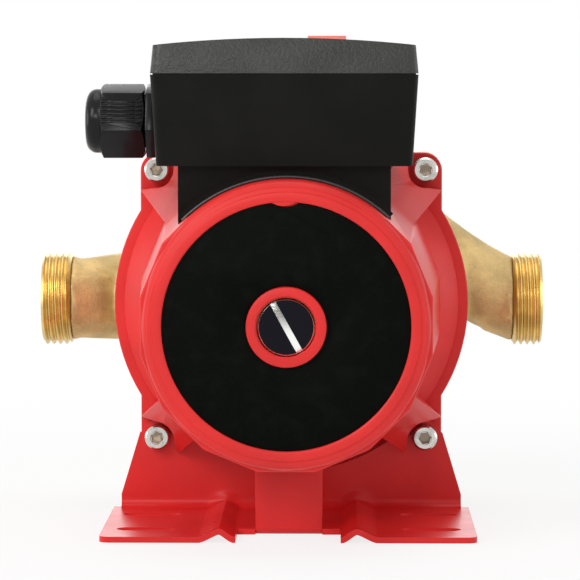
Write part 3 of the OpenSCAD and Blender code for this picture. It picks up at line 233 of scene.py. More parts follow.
def loop(name, places, fill="NOTHING"):
    """A closed loop of edges through places in metres, empty or filled."""
    deselect()
    bpy.ops.mesh.primitive_circle_add(vertices=len(places), radius=MM, fill_type=fill)
    piece = added(name)
    for point, place in zip(piece.data.vertices, places):
        point.co = place
    return piece


def outline(name, places, depth):
    """A flat outline through places in metres, pushed to a solid by a depth vector."""
    piece = loop(name, places, "NGON")
    with editing(piece, everything=True):
        bpy.ops.mesh.extrude_region_move(TRANSFORM_OT_translate={"value": Vector(depth)})
    return outwards(piece)


def slab(name, points, z0, z1):
    """A solid of an outline in the motor's x and y, from z0 to z1."""
    piece = outline(name, [Vector((x, y, z0)) * MM for x, y in points], (0, 0, (z1 - z0) * MM))
    piece.matrix_world = MOTOR
    return settle(piece)


def sector(name, inner, start, end, z0, z1, outer=60.0, steps=30):
    """A slab of a ring round the motor's axis, between two angles in degrees."""
    return slab(name, arc(0, 0, inner, start, end, 60) + arc(0, 0, outer, end, start, steps), z0, z1)


def prism(name, points, y0, y1):
    """A solid of an outline in x and z, from y0 to y1."""
    return outline(name, [Vector((x, y0, z)) * MM for x, z in points], (0, (y1 - y0) * MM, 0))


def stadium(name, x, y, length, width, z0, z1):
    """An upright solid with round ends."""
    r, reach = width / 2, (length - width) / 2
    points = arc(x + reach, y, r, -90, 90, 12) + arc(x - reach, y, r, 90, 270, 12)
    return outline(name, [Vector((a, b, z0)) * MM for a, b in points], (0, 0, (z1 - z0) * MM))


def block(name, low, high):
    """A block between two corners."""
    deselect()
    bpy.ops.mesh.primitive_cube_add(size=1, location=[(a + b) / 2 * MM for a, b in zip(low, high)])
    piece = added(name)
    piece.scale = [(b - a) * MM for a, b in zip(low, high)]
    return settle(piece)


def turned(name, profile, steps=96, place=MOTOR):
    """A solid spun round the z axis from a profile of radius and height."""
    on_axis = 0.0001 * MM
    piece = loop(name, [Vector((radius, 0, height)) * MM for radius, height in profile])
    without_edges(piece, lambda ends: all(point.co.x < on_axis for point in ends))
    with editing(piece, "VERT", everything=True):
        bpy.ops.mesh.spin(steps=steps, angle=FULL_TURN, center=(0, 0, 0), axis=(0, 0, 1))
    outwards(piece)
    piece.matrix_world = place
    return settle(piece)


def folded(name, x_rows, path, rise=None):
    """A folded sheet: rows across in x, along a path of y, z, its normal and the share of the rise."""
    deselect()
    columns, rows = len(x_rows) - 1, len(path) - 1
    bpy.ops.mesh.primitive_grid_add(x_subdivisions=columns, y_subdivisions=rows, size=MM)
    piece = added(name)
    places = sorted(piece.data.vertices, key=lambda v: (round(v.co.y, 7), round(v.co.x, 7)))
    for index, point in enumerate(places):
        y, z, ny, nz, share = path[index // (columns + 1)]
        x = x_rows[index % (columns + 1)]
        lift = rise(x) * share if rise else 0.0
        point.co = Vector((x, y + ny * lift, z + nz * lift)) * MM
    return piece


def linked(name, data):
    """A new object in the scene."""
    thing = bpy.data.objects.new(name, data)
    bpy.context.scene.collection.objects.link(thing)
    return thing


def copied(name, source):
    """A copy of an object, with its own mesh."""
    piece = linked(name, source.data.copy())
    piece.data.name = name
    return piece


def cad_copy(name, node):
    """A merged copy of a CAD node, to work up into a piece."""
    piece = copied(name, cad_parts[node])
    piece.data.materials.clear()
    with editing(piece, "VERT", everything=True):
        bpy.ops.mesh.customdata_custom_splitnormals_clear()
        bpy.ops.mesh.remove_doubles(threshold=0.004 * MM)
        bpy.ops.mesh.dissolve_limited(angle_limit=math.radians(0.6), use_dissolve_boundaries=False)
    return piece


def finished(piece, finish, body, nodes, smooth):
    """Shades a piece, gives it its finish and its body, and lets it stand for CAD nodes."""
    take(piece)
    bpy.ops.object.shade_smooth_by_angle(angle=math.radians(smooth))
    piece.data.materials.clear()
    piece.data.materials.append(FINISHES[finish]())
    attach(piece, body)
    if nodes:
        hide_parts(*nodes)


def dress(name, node, edge, finish, body, smooth):
    """Rounds a CAD node's shape by an edge's width, angle and segments, and finishes it."""
    finished(rounded(cad_copy(name, node), *edge), finish, body, [node], smooth)


# Shader helpers
class Wire:
    """A shader output that adds Math nodes when it is used in a sum."""

    def __init__(self, graph, socket):
        self.graph = graph
        self.socket = socket

    def other(self, output):
        """Another output of the same node."""
        return Wire(self.graph, self.socket.node.outputs[output])

    def maths(self, operation, *values, clamp=False):
        return self.graph.node("Math", {"operation": operation, "use_clamp": clamp},
                               dict(enumerate(values)))

    def __add__(self, other):
        return self.maths("ADD", self, other)

    __radd__ = __add__

    def __sub__(self, other):
        return self.maths("SUBTRACT", self, other)

    def __rsub__(self, other):
        return self.maths("SUBTRACT", other, self)

    def __mul__(self, other):
        return self.maths("MULTIPLY", self, other)

    __rmul__ = __mul__


class Graph:
    """A node tree that is put together one node at a time."""

    def __init__(self, tree):
        self.tree = tree
        tree.nodes.clear()

    def feed(self, socket, value):
        """Links or sets one socket."""
        if isinstance(value, Wire):
            self.tree.links.new(value.socket, socket)
        else:
            socket.default_value = value

    def node(self, kind, settings=None, inputs=None, output=0):
        """Adds a shader node: its kind, its settings, then the values or links of its sockets."""
        node = self.tree.nodes.new("ShaderNode" + kind)
        for key, value in (settings or {}).items():
            setattr(node, key, value)
        for key, value in (inputs or {}).items():
            self.feed(node.inputs[key], value)
        return Wire(self, node.outputs[output]) if node.outputs else None

    def backdrop(self):
        """A mask of the rays that show the background: those of the camera, gloss and glass."""
        seen = self.node("LightPath", output="Is Camera Ray")
        return seen.maths("ADD", seen + seen.other("Is Glossy Ray"), seen.other("Is Transmission Ray"),
                          clamp=True)


class Finish(Graph):
    """One procedural material being put together."""

    def __init__(self, name, base, metallic=0.0, roughness=0.5, specular=0.5, coat=0.0):
        self.material = bpy.data.materials.new(name)
        self.material.use_nodes = True
        super().__init__(self.material.node_tree)
        self.shader = self.surface = self.node("BsdfPrincipled", {}, {
            "Base Color": (*base, 1.0), "Metallic": metallic, "Roughness": roughness,
            "Specular IOR Level": specular, "Coat Weight": coat, "Coat Roughness": 0.1})
        self.place = self.node("TexCoord", output="Object")

    def set(self, socket, value):
        """Links or sets one socket of the surface shader."""
        self.feed(self.shader.socket.node.inputs[socket], value)

    def done(self):
        """Ends the material and hands it over."""
        self.node("OutputMaterial", {}, {0: self.surface})
        return self.material

    def noise(self, size, detail=3.0, rough=0.5, stretch=(1, 1, 1)):
        """Noise whose features are about a size in millimetres across."""
        place = self.place
        if stretch != (1, 1, 1):
            place = self.node("Mapping", {}, {"Vector": place, "Scale": stretch})
        return self.node("TexNoise", {"noise_dimensions": "3D"},
                         {"Vector": place, "Scale": 1.0 / (size * MM), "Detail": detail, "Roughness": rough})

    def spots(self, size):
        """Distance to the nearest of a scatter of points."""
        return self.node("TexVoronoi", {"feature": "F1"},
                         {"Vector": self.place, "Scale": 1.0 / (size * MM)})

    def step(self, value, low, high):
        """A soft step from 0 at one value to 1 at another."""
        return self.node("MapRange", {"interpolation_type": "SMOOTHSTEP"},
                         {"Value": value, "From Min": low, "From Max": high, "To Min": 0.0, "To Max": 1.0})

    def blend(self, mask, first, second):
        """A colour between two, by a mask."""
        first, second = [value if isinstance(value, Wire) else (*tuple(value)[:3], 1.0)
                         for value in (first, second)]
        return self.node("Mix", {"data_type": "RGBA"}, {0: mask, 6: first, 7: second}, output=2)

    def axes(self):
        """The object's own x, y and z, in metres."""
        x = self.node("SeparateXYZ", {}, {0: self.place})
        return x, x.other(1), x.other(2)

    def height(self, value, depth, strength=1.0, before=None):
        """A bump of a depth in millimetres."""
        inputs = {"Height": value, "Distance": depth * MM, "Strength": strength}
        if before is not None:
            inputs["Normal"] = before
        bump = self.node("Bump", {}, inputs)
        self.set("Normal", bump)
        return bump


def shade(colour, factor):
    """A colour made lighter or darker."""
    return tuple(min(1.0, part * factor) for part in colour)


FINISHES = {}


def finish_of(name):
    """Keeps one finish by its name, and makes its material once."""
    def keep(build):
        made = []

        def once():
            if not made:
                made.append(build(bpy.context.scene.pump_colours).done())
            return made[0]
        FINISHES[name] = once
        return once
    return keep


@finish_of("motor paint")
def motor_paint(colours):
    red = colours.motor_red
    paint = Finish("motor paint", red, roughness=0.34, specular=0.24)
    cloud = paint.noise(26, 4)
    grain = paint.noise(0.9, 3, 0.6)
    paint.set("Base Color", paint.blend(paint.step(cloud, 0.38, 0.64), shade(red, 0.93), shade(red, 1.05)))
    paint.set("Roughness", 0.3 + 0.12 * grain + 0.06 * cloud)
    fine = paint.height(grain, 0.05, 0.55)
    paint.height(paint.noise(3.5, 2), 0.12, 0.25, fine)
    return paint


@finish_of("foot paint")
def foot_paint(colours):
    red = colours.foot_red
    paint = Finish("foot paint", red, roughness=0.3, specular=0.26)
    cloud = paint.noise(34, 4)
    peel = paint.noise(1.4, 2, 0.5)
    paint.set("Base Color", paint.blend(paint.step(cloud, 0.36, 0.66), shade(red, 0.9), shade(red, 1.04)))
    paint.set("Roughness", 0.24 + 0.14 * paint.noise(9, 3))
    paint.height(peel, 0.05, 0.4)
    return paint


@finish_of("cast brass")
def cast_brass(colours):
    brass = colours.brass
    metal = Finish("cast brass", brass, metallic=0.62, roughness=0.55)
    cloud = metal.noise(11, 5, 0.6)
    sand = metal.noise(0.75, 4, 0.65)
    pits = metal.step(metal.spots(1.5), 0.28, 0.12)
    tone = metal.blend(metal.step(cloud, 0.35, 0.68), shade(brass, 0.84), (0.70, 0.51, 0.22))
    tone = metal.blend(pits * 0.45 * metal.step(sand, 0.45, 0.6), tone, shade(brass, 0.4))
    metal.set("Base Color", tone)
    metal.set("Roughness", 0.5 + 0.2 * sand - 0.08 * cloud)
    rough = metal.height(sand, 0.22, 0.8)
    metal.height(metal.noise(4.2, 3), 0.4, 0.35, rough)
    return metal


@finish_of("machined brass")
def machined_brass(colours):
    brass = colours.bright_brass
    metal = Finish("machined brass", brass, metallic=1.0, roughness=0.24)
    lines = metal.noise(0.6, 2, 0.5, stretch=(3.0, 0.4, 0.4))
    cloud = metal.noise(7, 3)
    tone = metal.blend(metal.step(cloud, 0.35, 0.7), shade(brass, 0.82), shade(brass, 1.08))
    metal.set("Base Color", tone)
    metal.set("Roughness", 0.25 + 0.12 * lines)
    metal.height(lines, 0.012, 0.4)
    return metal


def moulding(name, colour, size, depth, roughness, specular, lift=1.6, painted_sheen=1.0):
    """Keeps the finish of a spark-eroded moulding: fine even grain, with a little haze.

    Its colour is given, or is the name of one of the scene's colours; a painted sheen above 1 makes the
    whole colour lighter, as a sheen painted in.
    """
    @finish_of(name)
    def build(colours):
        base = shade(getattr(colours, colour) if isinstance(colour, str) else colour, painted_sheen)
        plastic = Finish(name, base, roughness=roughness, specular=specular)
        grain = plastic.noise(size, 3, 0.62)
        haze = plastic.noise(17, 4)
        plastic.set("Base Color", plastic.blend(plastic.step(haze, 0.35, 0.7), base, shade(base, lift)))
        plastic.set("Roughness", roughness - 0.09 + 0.18 * grain)
        plastic.height(grain, depth, 0.75)
        return plastic


moulding("black moulding", "moulding", 0.75, 0.2, 0.36, 0.05, 1.25)
# The lid is the box's black plastic, painted lighter all over as a sheen.
moulding("lid moulding", "moulding", 1.1, 0.3, 0.34, 0.36, painted_sheen=2.2)
# The neck's lip is the box's black plastic, painted grey as a highlight line.
moulding("lip moulding", (0.05, 0.05, 0.05), 1.1, 0.01, 0.26, 0.4, 1.2)
moulding("gland black", "gland", 1.2, 0.004, 0.2, 0.16, 1.2)
moulding("rocker plastic", "rocker", 0.8, 0.03, 0.33, 0.5, 0.82)
moulding("ivory moulding", (0.70, 0.66, 0.55), 0.6, 0.05, 0.45, 0.5, 0.93)
moulding("wire plastic", (0.66, 0.62, 0.5), 1.0, 0.02, 0.35, 0.5, 0.9)
moulding("rubber", (0.018, 0.018, 0.019), 0.4, 0.06, 0.7, 0.3)
moulding("carbon", (0.03, 0.03, 0.033), 0.25, 0.03, 0.5, 0.45)


@finish_of("plate black")
def plate_black(colours):
    black = colours.plate
    plate = Finish("plate black", black, roughness=0.5, specular=0.035)
    speck = plate.noise(0.5, 3, 0.7)
    cloud = plate.noise(6, 4, 0.6)
    tone = plate.blend(plate.step(speck, 0.5, 0.72), black, (0.006, 0.0075, 0.005))
    plate.set("Base Color", plate.blend(plate.step(cloud, 0.45, 0.7), tone, (0.0035, 0.0045, 0.003)))
    plate.set("Roughness", 0.42 + 0.2 * speck)
    plate.height(speck, 0.04, 0.5)
    return plate


def turned_metal(name, colour, roughness, size, dirt, depth=0.02, socket=None):
    """Metal with fine tool lines and a little tarnish, and, where a socket colour is given, painted shade
    inside a screw's hex socket.
    """
    metal = Finish(name, colour, metallic=1.0, roughness=roughness)
    lines = metal.noise(size, 3, 0.6)
    cloud = metal.noise(5, 4, 0.6)
    tone = metal.blend(metal.step(cloud, 0.4, 0.72), colour, shade(colour, dirt))
    if socket:
        # Painted shade: faces inside the hex socket take the darker socket colour, lighter in random
        # patches.
        inside = metal.node("Attribute", {"attribute_name": "socket"}, output="Fac")
        socket_shade = metal.blend(metal.step(cloud, 0.45, 0.6), socket, shade(socket, 2.2))
        tone = metal.blend(inside, tone, socket_shade)
    metal.set("Base Color", tone)
    metal.set("Roughness", roughness - 0.07 + 0.18 * lines)
    metal.height(lines, depth, 0.5)
    return metal


@finish_of("screw steel")
def screw_steel(colours):
    # The socket colour is the painted shade inside the hex socket.
    return turned_metal("screw steel", colours.steel, 0.2, 0.6, 0.55, depth=0.004,
                        socket=(0.24, 0.19, 0.14))


@finish_of("plug steel")
def plug_steel(colours):
    """Steel with painted light: bright below the middle of the plug as a painted highlight, dark above it as
    painted shade, and a near black front face round the screwdriver slot as a painted dark reflection.
    """
    metal = Finish("plug steel", (0.56, 0.55, 0.53), metallic=1.0, roughness=0.14)
    _, y, z = metal.axes()
    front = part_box("vent_plug")[0].y
    slot_low, slot_high = 72 * MM, 80 * MM
    streak = metal.noise(0.7, 3, 0.6, stretch=(0.5, 1, 2.2))
    # The front face is painted near black: a painted dark reflection.
    face = metal.step(y, front + 0.12 * MM, front + 0.04 * MM)
    # Painted highlight low on the slot and the head's side, painted shade high on them.
    highlight_below_shade_above = metal.step(z, slot_low, slot_high) * (0.4 + streak)
    steel = metal.blend(highlight_below_shade_above, (0.95, 0.95, 0.93), (0.22, 0.21, 0.19))
    metal.set("Base Color", metal.blend(face, steel, (0.012, 0.012, 0.016)))
    metal.set("Roughness", 0.12 + 0.16 * streak * (1 - face))
    metal.height(streak * (1 - face), 0.05, 0.6)
    return metal


@finish_of("stainless")
def stainless(colours):
    return turned_metal("stainless", (0.66, 0.65, 0.63), 0.3, 0.4, 0.8)


@finish_of("laminations")
def laminations(colours):
    """Stacked sheets half a millimetre thick, with a little rust."""
    steel, rusty, sheet = (0.3, 0.3, 0.32), (0.22, 0.16, 0.12), 0.5
    metal = Finish("laminations", steel, metallic=1.0, roughness=0.5)
    _, y, _ = metal.axes()
    rust = metal.noise(6, 4, 0.6)
    metal.set("Base Color", metal.blend(metal.step(rust, 0.5, 0.75), steel, rusty))
    metal.set("Roughness", 0.42 + 0.2 * rust)
    metal.height(y.maths("SINE", y * (FULL_TURN / (sheet * MM))), 0.05, 0.6)
    return metal


@finish_of("enamelled copper")
def enamelled_copper(colours):
    metal = Finish("enamelled copper", (0.62, 0.25, 0.1), metallic=1.0, roughness=0.35, coat=0.6)
    strands = metal.noise(0.8, 3, 0.5, stretch=(1, 0.2, 1))
    tone = metal.blend(metal.step(strands, 0.35, 0.65), (0.4, 0.13, 0.05), (0.68, 0.3, 0.12))
    metal.set("Base Color", tone)
    metal.set("Roughness", 0.28 + 0.2 * strands)
    metal.height(strands, 0.3, 0.8)
    return metal


@finish_of("cast aluminium")
def cast_aluminium(colours):
    return turned_metal("cast aluminium", (0.72, 0.73, 0.74), 0.42, 0.9, 0.78, depth=0.08)


# Pieces
def flange_points():
    """Outline of the motor flange: a round flange with four square lugs."""
    cross = math.degrees(math.acos(LUG_HALF / FLANGE_R))
    centre = LUG_HALF - LUG_CORNER
    quarter = arc(0, 0, FLANGE_R, -cross, cross, 18) + arc(centre, centre, LUG_CORNER, 0, 90, 8)
    return [point for turn in (0, 90, 180, 270) for point in rotated(turn, quarter)]


def gusset(turn):
    """The sloping web from the body to one lug, with a dip along its face."""
    root_r, step_r, back, low, high = 46.0, 50.5, FLANGE_BACK + 0.5, 27.0, 58.0
    side = [(root_r, back), (GUSSET_REACH, back), (GUSSET_REACH, low), (step_r, high), (root_r, high)]
    web = outline("gusset", [Vector((r, -GUSSET_HALF, z)) * MM for r, z in side],
                  (0, 2 * GUSSET_HALF * MM, 0))
    web.matrix_world = MOTOR @ Matrix.Rotation(math.radians(turn), 4, "Z")
    settle(web)
    edge_r, past_r, half = GUSSET_REACH + 0.2, GUSSET_REACH + 5.9, GUSSET_HALF + 0.1
    low_r = GUSSET_REACH - GUSSET_DIP
    dip = [(edge_r, -half), (low_r, -GUSSET_DIP_HALF), (low_r, GUSSET_DIP_HALF), (edge_r, half),
           (past_r, half), (past_r, -half)]
    combined(web, [slab("dip", rotated(turn, dip), back - 5.5, high + 12)], "DIFFERENCE")
    return rounded(web, 0.8 * MM, 20, 3)


def root_cone():
    """The cone at the root of the motor's body, with a rounded foot."""
    foot_r, low, top_r, top = 59.5, 20.0, 53.2, 30.0
    return turned("root_cone", [
        (foot_r - 2.5, low), (foot_r, low), (foot_r, FLANGE_FRONT + 0.15),
        (foot_r - 0.12, FLANGE_FRONT + 0.5), (foot_r - 0.4, FLANGE_FRONT + 0.78),
        (foot_r - 0.8, FLANGE_FRONT + 1.05), (top_r, top), (top_r - 0.7, top + 1), (top_r - 3.2, top + 1)])


def motor_body(edge):
    """The sixteen-sided body, narrower at the front."""
    sides = 16
    deselect()
    bpy.ops.mesh.primitive_cone_add(vertices=sides, radius1=BODY_ROOT_R * MM, radius2=BODY_FRONT_R * MM,
                                    depth=(BODY_FRONT - BODY_BACK) * MM)
    body = added("body")
    body.matrix_world = (MOTOR @ Matrix.Translation((0, 0, (BODY_BACK + BODY_FRONT) / 2 * MM))
                         @ Matrix.Rotation(math.pi / sides, 4, "Z"))
    return rounded(settle(body), edge, 15, 3)


def crest(centre, width):
    """The rounded front edge of the ring, as points of radius and height."""
    angles = [math.radians(a) for a in range(15, 91, 15)]
    return [(centre + width * math.sin(a), CREST_Z + CREST_H * math.cos(a)) for a in angles]


def front_ring():
    """The round ring at the front, with the lip round the nameplate."""
    floor_r, floor_z, recess_r, lip_r = 36.0, 129.25, 40.2, 43.5
    shelf_z, shoulder_r, crest_w = 130.2, 44.9, 1.9
    profile = [(floor_r, RING_ROOT), (floor_r, floor_z), (recess_r, floor_z), (recess_r, LIP_Z - 0.65),
               (recess_r + 0.1, LIP_Z - 0.32), (recess_r + 0.35, LIP_Z - 0.1), (recess_r + 0.7, LIP_Z)]
    profile += [(lip_r - 0.4, LIP_Z), (lip_r - 0.1, LIP_Z - 0.15), (lip_r + 0.05, shelf_z + 0.25),
                (lip_r + 0.4, shelf_z + 0.1), (shoulder_r - 0.3, shelf_z), (shoulder_r, shelf_z - 0.15),
                (shoulder_r + 0.2, shelf_z - 0.45)]
    return turned("ring", profile + crest(shoulder_r, crest_w) + [(shoulder_r + crest_w, RING_ROOT)], 160)


def ring_tab():
    """The small rounded tab at the top of the ring, which laps over the nameplate."""
    x, y, tab_r, back, front, reach = -0.9, 46.0, 7.1, 127.5, 130.55, 43.2
    tab = slab("tab", circle(x, y, tab_r, 24), back, front)
    combined(tab, [slab("reach", circle(0, 0, reach, 60), RING_ROOT + 1, PAST_FRONT)], "INTERSECT")
    return rounded(tab, 0.35 * MM, 50, 2)


def vent_boss():
    """The boss round the vent plug."""
    boss_r, face = 13.05, 131.95
    return turned("boss", [(0, RING_ROOT), (0, face - 0.05), (boss_r - 0.65, face),
                           (boss_r - 0.2, face - 0.2), (boss_r, face - 0.65), (boss_r, RING_ROOT)])


def neck_crown():
    """The ring's outer edge where the neck of the terminal box hugs it."""
    inner, root, top, centre, start, end, back = 44.0, 115.9, 129.2, 44.3, 46.9, 133.1, 100.0
    profile = [(inner, root), (inner, top), (inner + 0.6, top + 0.4)] + crest(centre, CREST_H)
    crown = turned("crown", profile + [(centre + CREST_H, root)], 160)
    return combined(crown, [sector("sector", inner - 1, start, end, back, PAST_FRONT)], "INTERSECT")


def motor_cuts():
    """The stator's bore, the vent's bore and the four screws' holes."""
    vent_r, vent_back, spot_r, back, past = 9.6, RING_ROOT - 1, 6.3, FLANGE_BACK - 1, 80.0
    bore_r, bore_front = 44.0, 121.5
    vent = [(0, vent_back), (0, PAST_FRONT), (vent_r + 0.7, PAST_FRONT), (vent_r + 0.5, LIP_Z + 0.7),
            (vent_r, LIP_Z + 0.2), (vent_r, vent_back)]
    hole = [(0, back), (0, past), (spot_r, past), (spot_r, FLANGE_FRONT + 0.5), (spot_r - 0.5, FLANGE_FRONT),
            (SCREW_HOLE_R, FLANGE_FRONT), (SCREW_HOLE_R, back)]
    return [slab("bore", circle(0, 0, bore_r, 96), back, bore_front), turned("vent", vent, 64)] + [
        turned("hole", hole, 40, place=MOTOR @ Matrix.Translation((x * MM, y * MM, 0)))
        for x, y in SCREW_PLACES]


class PUMP_OT_motor_housing(Operator):
    """Builds the red motor casting: flange, lugs, sixteen-sided body, front ring and boss"""

    bl_idname = "pump.motor_housing"
    bl_label = "Motor casting"

    def execute(self, context):
        sizes = context.scene.pump_sizes
        shell = slab("motor_casting", flange_points(), FLANGE_BACK, FLANGE_FRONT)
        rounded(shell, sizes.casting_edge, 50, 3)
        gussets = [gusset(turn) for turn in (45, 135, 225, 315)]
        combined(shell, [root_cone(), motor_body(sizes.facet_edge)] + gussets, "UNION")
        neck_r, start, end, neck_back = 46.5, 47, 133, 116.0
        combined(shell, [sector("neck_trim", neck_r, start, end, neck_back, PAST_FRONT)], "DIFFERENCE")
        combined(shell, [neck_crown(), front_ring(), ring_tab(), vent_boss()], "UNION")
        combined(shell, motor_cuts(), "DIFFERENCE")
        outwards(shell)
        finished(shell, "motor paint", "pump", ["motor_housing"], 28)
        return {"FINISHED"}


def port(side):
    """The frame of one port: z runs out along the pipe."""
    return PIPE_AXIS @ Matrix.Rotation(math.radians(side * 90), 4, "Y")


class PUMP_OT_casing(Operator):
    """Smooths the brass casing into one sand casting"""

    bl_idname = "pump.casing"
    bl_label = "Pump casing"

    def execute(self, context):
        grain = context.scene.pump_sizes.casting_grain
        casing = cad_copy("casing_body", "pump_casing")
        cube, collar_l, collar_r = 60.0, 10.1, 15.3
        middle = THREAD_START + 0.1 + cube / 2
        ends = []
        for side in (-1, 1):
            deselect()
            bpy.ops.mesh.primitive_cube_add(size=cube * MM,
                                            location=(side * middle * MM, PIPE_BACK * MM, AXIS_H * MM))
            ends.append(settle(added("end")))
        combined(casing, ends, "DIFFERENCE")
        profile = [(PORT_BORE_R, THREAD_START - collar_l), (collar_r, THREAD_START),
                   (PORT_BORE_R, THREAD_START)]
        combined(casing, [turned("collar", profile, 64, place=port(side)) for side in (-1, 1)], "UNION")
        modified(casing, "REMESH", mode="VOXEL", voxel_size=grain, adaptivity=0.0)
        modified(casing, "SMOOTH", factor=0.5, iterations=4)
        modified(casing, "DECIMATE", ratio=0.45)
        outwards(casing, 0.001 * MM)
        finished(casing, "cast brass", "pump", ["pump_casing"], 80)
        return {"FINISHED"}


# One ridge of the pipe thread: shares of the pitch and of the depth
RIDGE_SHARES = (
    (0.0, 0.0), (0.07, 0.03), (0.16, 0.2), (0.34, 0.8), (0.43, 0.97), (0.5, 1.0), (0.57, 0.97), (0.66, 0.8),
    (0.84, 0.2), (0.93, 0.03), (1.0, 0.0),
)


class PUMP_OT_port_threads(Operator):
    """Cuts the pipe thread of each port"""

    bl_idname = "pump.port_threads"
    bl_label = "Port threads"

    def execute(self, context):
        sizes = context.scene.pump_sizes
        pitch, depth, crest_r, turns, before = sizes.thread_pitch, sizes.thread_depth, 16.62 * MM, 8, 3
        rod = loop("rod", [(crest_r - depth + depth * rise, 0, (share - before) * pitch)
                           for share, rise in RIDGE_SHARES])
        first_and_last = {0, len(RIDGE_SHARES) - 1}
        without_edges(rod, lambda ends: {point.index for point in ends} == first_and_last)
        modified(rod, "SCREW", axis="Z", screw_offset=pitch, iterations=turns, steps=72, render_steps=72,
                 use_merge_vertices=False)
        with editing(rod, "VERT", everything=True):
            bpy.ops.mesh.remove_doubles(threshold=0.003 * MM)
        for height, up in ((-0.6, False), (THREAD_L + 0.9, True)):
            with editing(rod, "VERT", everything=True):
                bpy.ops.mesh.bisect(plane_co=(0, 0, height * MM), plane_no=(0, 0, 1), use_fill=True,
                                    clear_inner=not up, clear_outer=up)
        outwards(rod)
        outer, chamfer, gap = 16.7, 1.1, 0.05
        sleeve = [(PORT_BORE_R, gap), (PORT_BORE_R, THREAD_L - 0.9), (PORT_BORE_R + 0.8, THREAD_L),
                  (outer - 1.2, THREAD_L), (outer, THREAD_L - chamfer), (outer, chamfer), (outer - 1.3, gap)]
        combined(rod, [turned("sleeve", sleeve, place=HERE)], "INTERSECT")
        for side, name in ((1, "outlet_thread"), (-1, "inlet_thread")):
            thread = copied(name, rod)
            thread.matrix_world = port(side) @ Matrix.Translation((0, 0, THREAD_START * MM))
            settle(thread)
            finished(thread, "machined brass", "pump", (), 40)
        bpy.data.objects.remove(rod)
        return {"FINISHED"}


def sheet_path():
    """The middle of the foot's sheet, from its front edge back, round the bend and up."""
    radius, fade_h, fade_steps = 4.0, 3.6, 6
    middle, y_bend, z_bend = SHEET_T / 2, UPRIGHT_MID - radius, SHEET_T / 2 + radius
    path = [(y, middle, 0.0, 1.0, 1.0) for y in (FOOT_FRONT, -30, -18, -6, 6, 18, 28, 31, y_bend)]
    for i in range(1, 9):
        a = math.radians(90 * i / 8)
        path.append((y_bend + radius * math.sin(a), z_bend - radius * math.cos(a), -math.sin(a), math.cos(a),
                     0.65 + 0.35 * math.cos(2 * a)))
    for i in range(1, fade_steps + 1):
        share = 0.15 + 0.15 * math.cos(math.pi * i / fade_steps)
        path.append((UPRIGHT_MID, z_bend + fade_h * i / fade_steps, -1.0, 0.0, share))
    return path + [(UPRIGHT_MID, z, -1.0, 0.0, 0.0) for z in (14, 20, 30, 36)]


def bead_rise(x):
    """Height of a stiffening bead across the sheet."""
    side = abs(x)
    foot = BEAD_START if side < BEAD_PEAK else BEAD_END
    share = max(0.0, (side - foot) / (BEAD_PEAK - foot))
    return BEAD_H * (share * share * (3 - 2 * share) * 0.45 + share * 0.55)


def foot_wing(side):
    """The flat end of one foot, with its rounded front corner."""
    corner_r, inner, step_y = 3.3, 56.0, 30.0
    plan = [(inner, FOOT_FRONT)] + arc(FOOT_HALF - corner_r, FOOT_FRONT + corner_r, corner_r, -90, 0, 8)
    plan += [(FOOT_HALF, UPRIGHT_BACK), (UPRIGHT_HALF, UPRIGHT_BACK), (UPRIGHT_HALF, step_y),
             (inner, step_y)]
    return outline("wing", [Vector((side * x, y, 0)) * MM for x, y in plan], (0, 0, SHEET_T * MM))


def upright_outline():
    """Outline of the upright: sloping sides, and a round ear at each screw."""
    past, shoulder, neck, ear_r = 70.0, 6.8, (53.8, 29.0), 5.9
    right = [(past, -5), (past, shoulder), (UPRIGHT_HALF, shoulder), neck]
    right += arc(SCREW_REACH, AXIS_H - SCREW_REACH, ear_r, 13.4, 130, 14)
    return right + [(-x, z) for x, z in reversed(right)]


def foot_cuts():
    """The front notch, the casting's seat, room for the lugs, the screws' holes and the slots."""
    low, high, seat_r, lug_half, lug_root = -3, 8, 60.0, GUSSET_HALF + 0.15, 40.0
    notch_half, notch_back, slot_x, slot_y, slot_l, slot_w = 17.6, -17.0, 48.5, 17.8, 20.0, 7.0
    seat = arc(0, AXIS_H, seat_r, 180, 360, 90) + [(seat_r, 90), (-seat_r, 90)]
    cuts = [block("notch", (-notch_half, FOOT_FRONT - 4, low), (notch_half, notch_back, high)),
            block("tongue_gap", (-TONGUE_HALF, notch_back - 1, low), (TONGUE_HALF, notch_back + 2.2, high)),
            prism("seat", seat, UPRIGHT_FROM, UPRIGHT_PAST)]
    edge_r, dip_r = GUSSET_REACH + 0.2, GUSSET_REACH - GUSSET_DIP + 0.2
    lug = [(lug_root, -lug_half), (edge_r, -lug_half), (dip_r, -GUSSET_DIP_HALF),
           (dip_r, GUSSET_DIP_HALF), (edge_r, lug_half), (lug_root, lug_half)]
    for side, turn in ((-1, 225), (1, -45)):
        room = [(x, y + AXIS_H) for x, y in rotated(turn, lug)]
        hole = circle(side * SCREW_REACH, AXIS_H - SCREW_REACH, SCREW_HOLE_R, 24)
        cuts += [prism("lug", room, UPRIGHT_FROM, UPRIGHT_PAST), prism("hole", hole, 30, UPRIGHT_PAST)]
        cuts += [stadium("slot", side * slot_x, y, slot_l, slot_w, low, high) for y in (-slot_y, slot_y)]
    return cuts


def foot_tongue(edge):
    """The tongue that is bent up in the middle of the front."""
    bend_y, bend_r, middle, thickness = -14.6, 1.4, SHEET_T / 2, 1.98
    strip = [(y, middle, 0, 0, 0) for y in (-9, -12, bend_y)]
    bend = arc(bend_y, middle + bend_r, bend_r, -90, -180, 6)[1:]
    strip += [(y, z, 0, 0, 0) for y, z in bend]
    strip += [(bend_y - bend_r, z, 0, 0, 0) for z in (6, 14, 25.9)]
    tongue = folded("tongue", [-TONGUE_HALF, -8, 0, 8, TONGUE_HALF], strip)
    modified(tongue, "SOLIDIFY", thickness=thickness * MM, offset=0.0, use_even_offset=True)
    return rounded(outwards(tongue), edge, 55, 2)


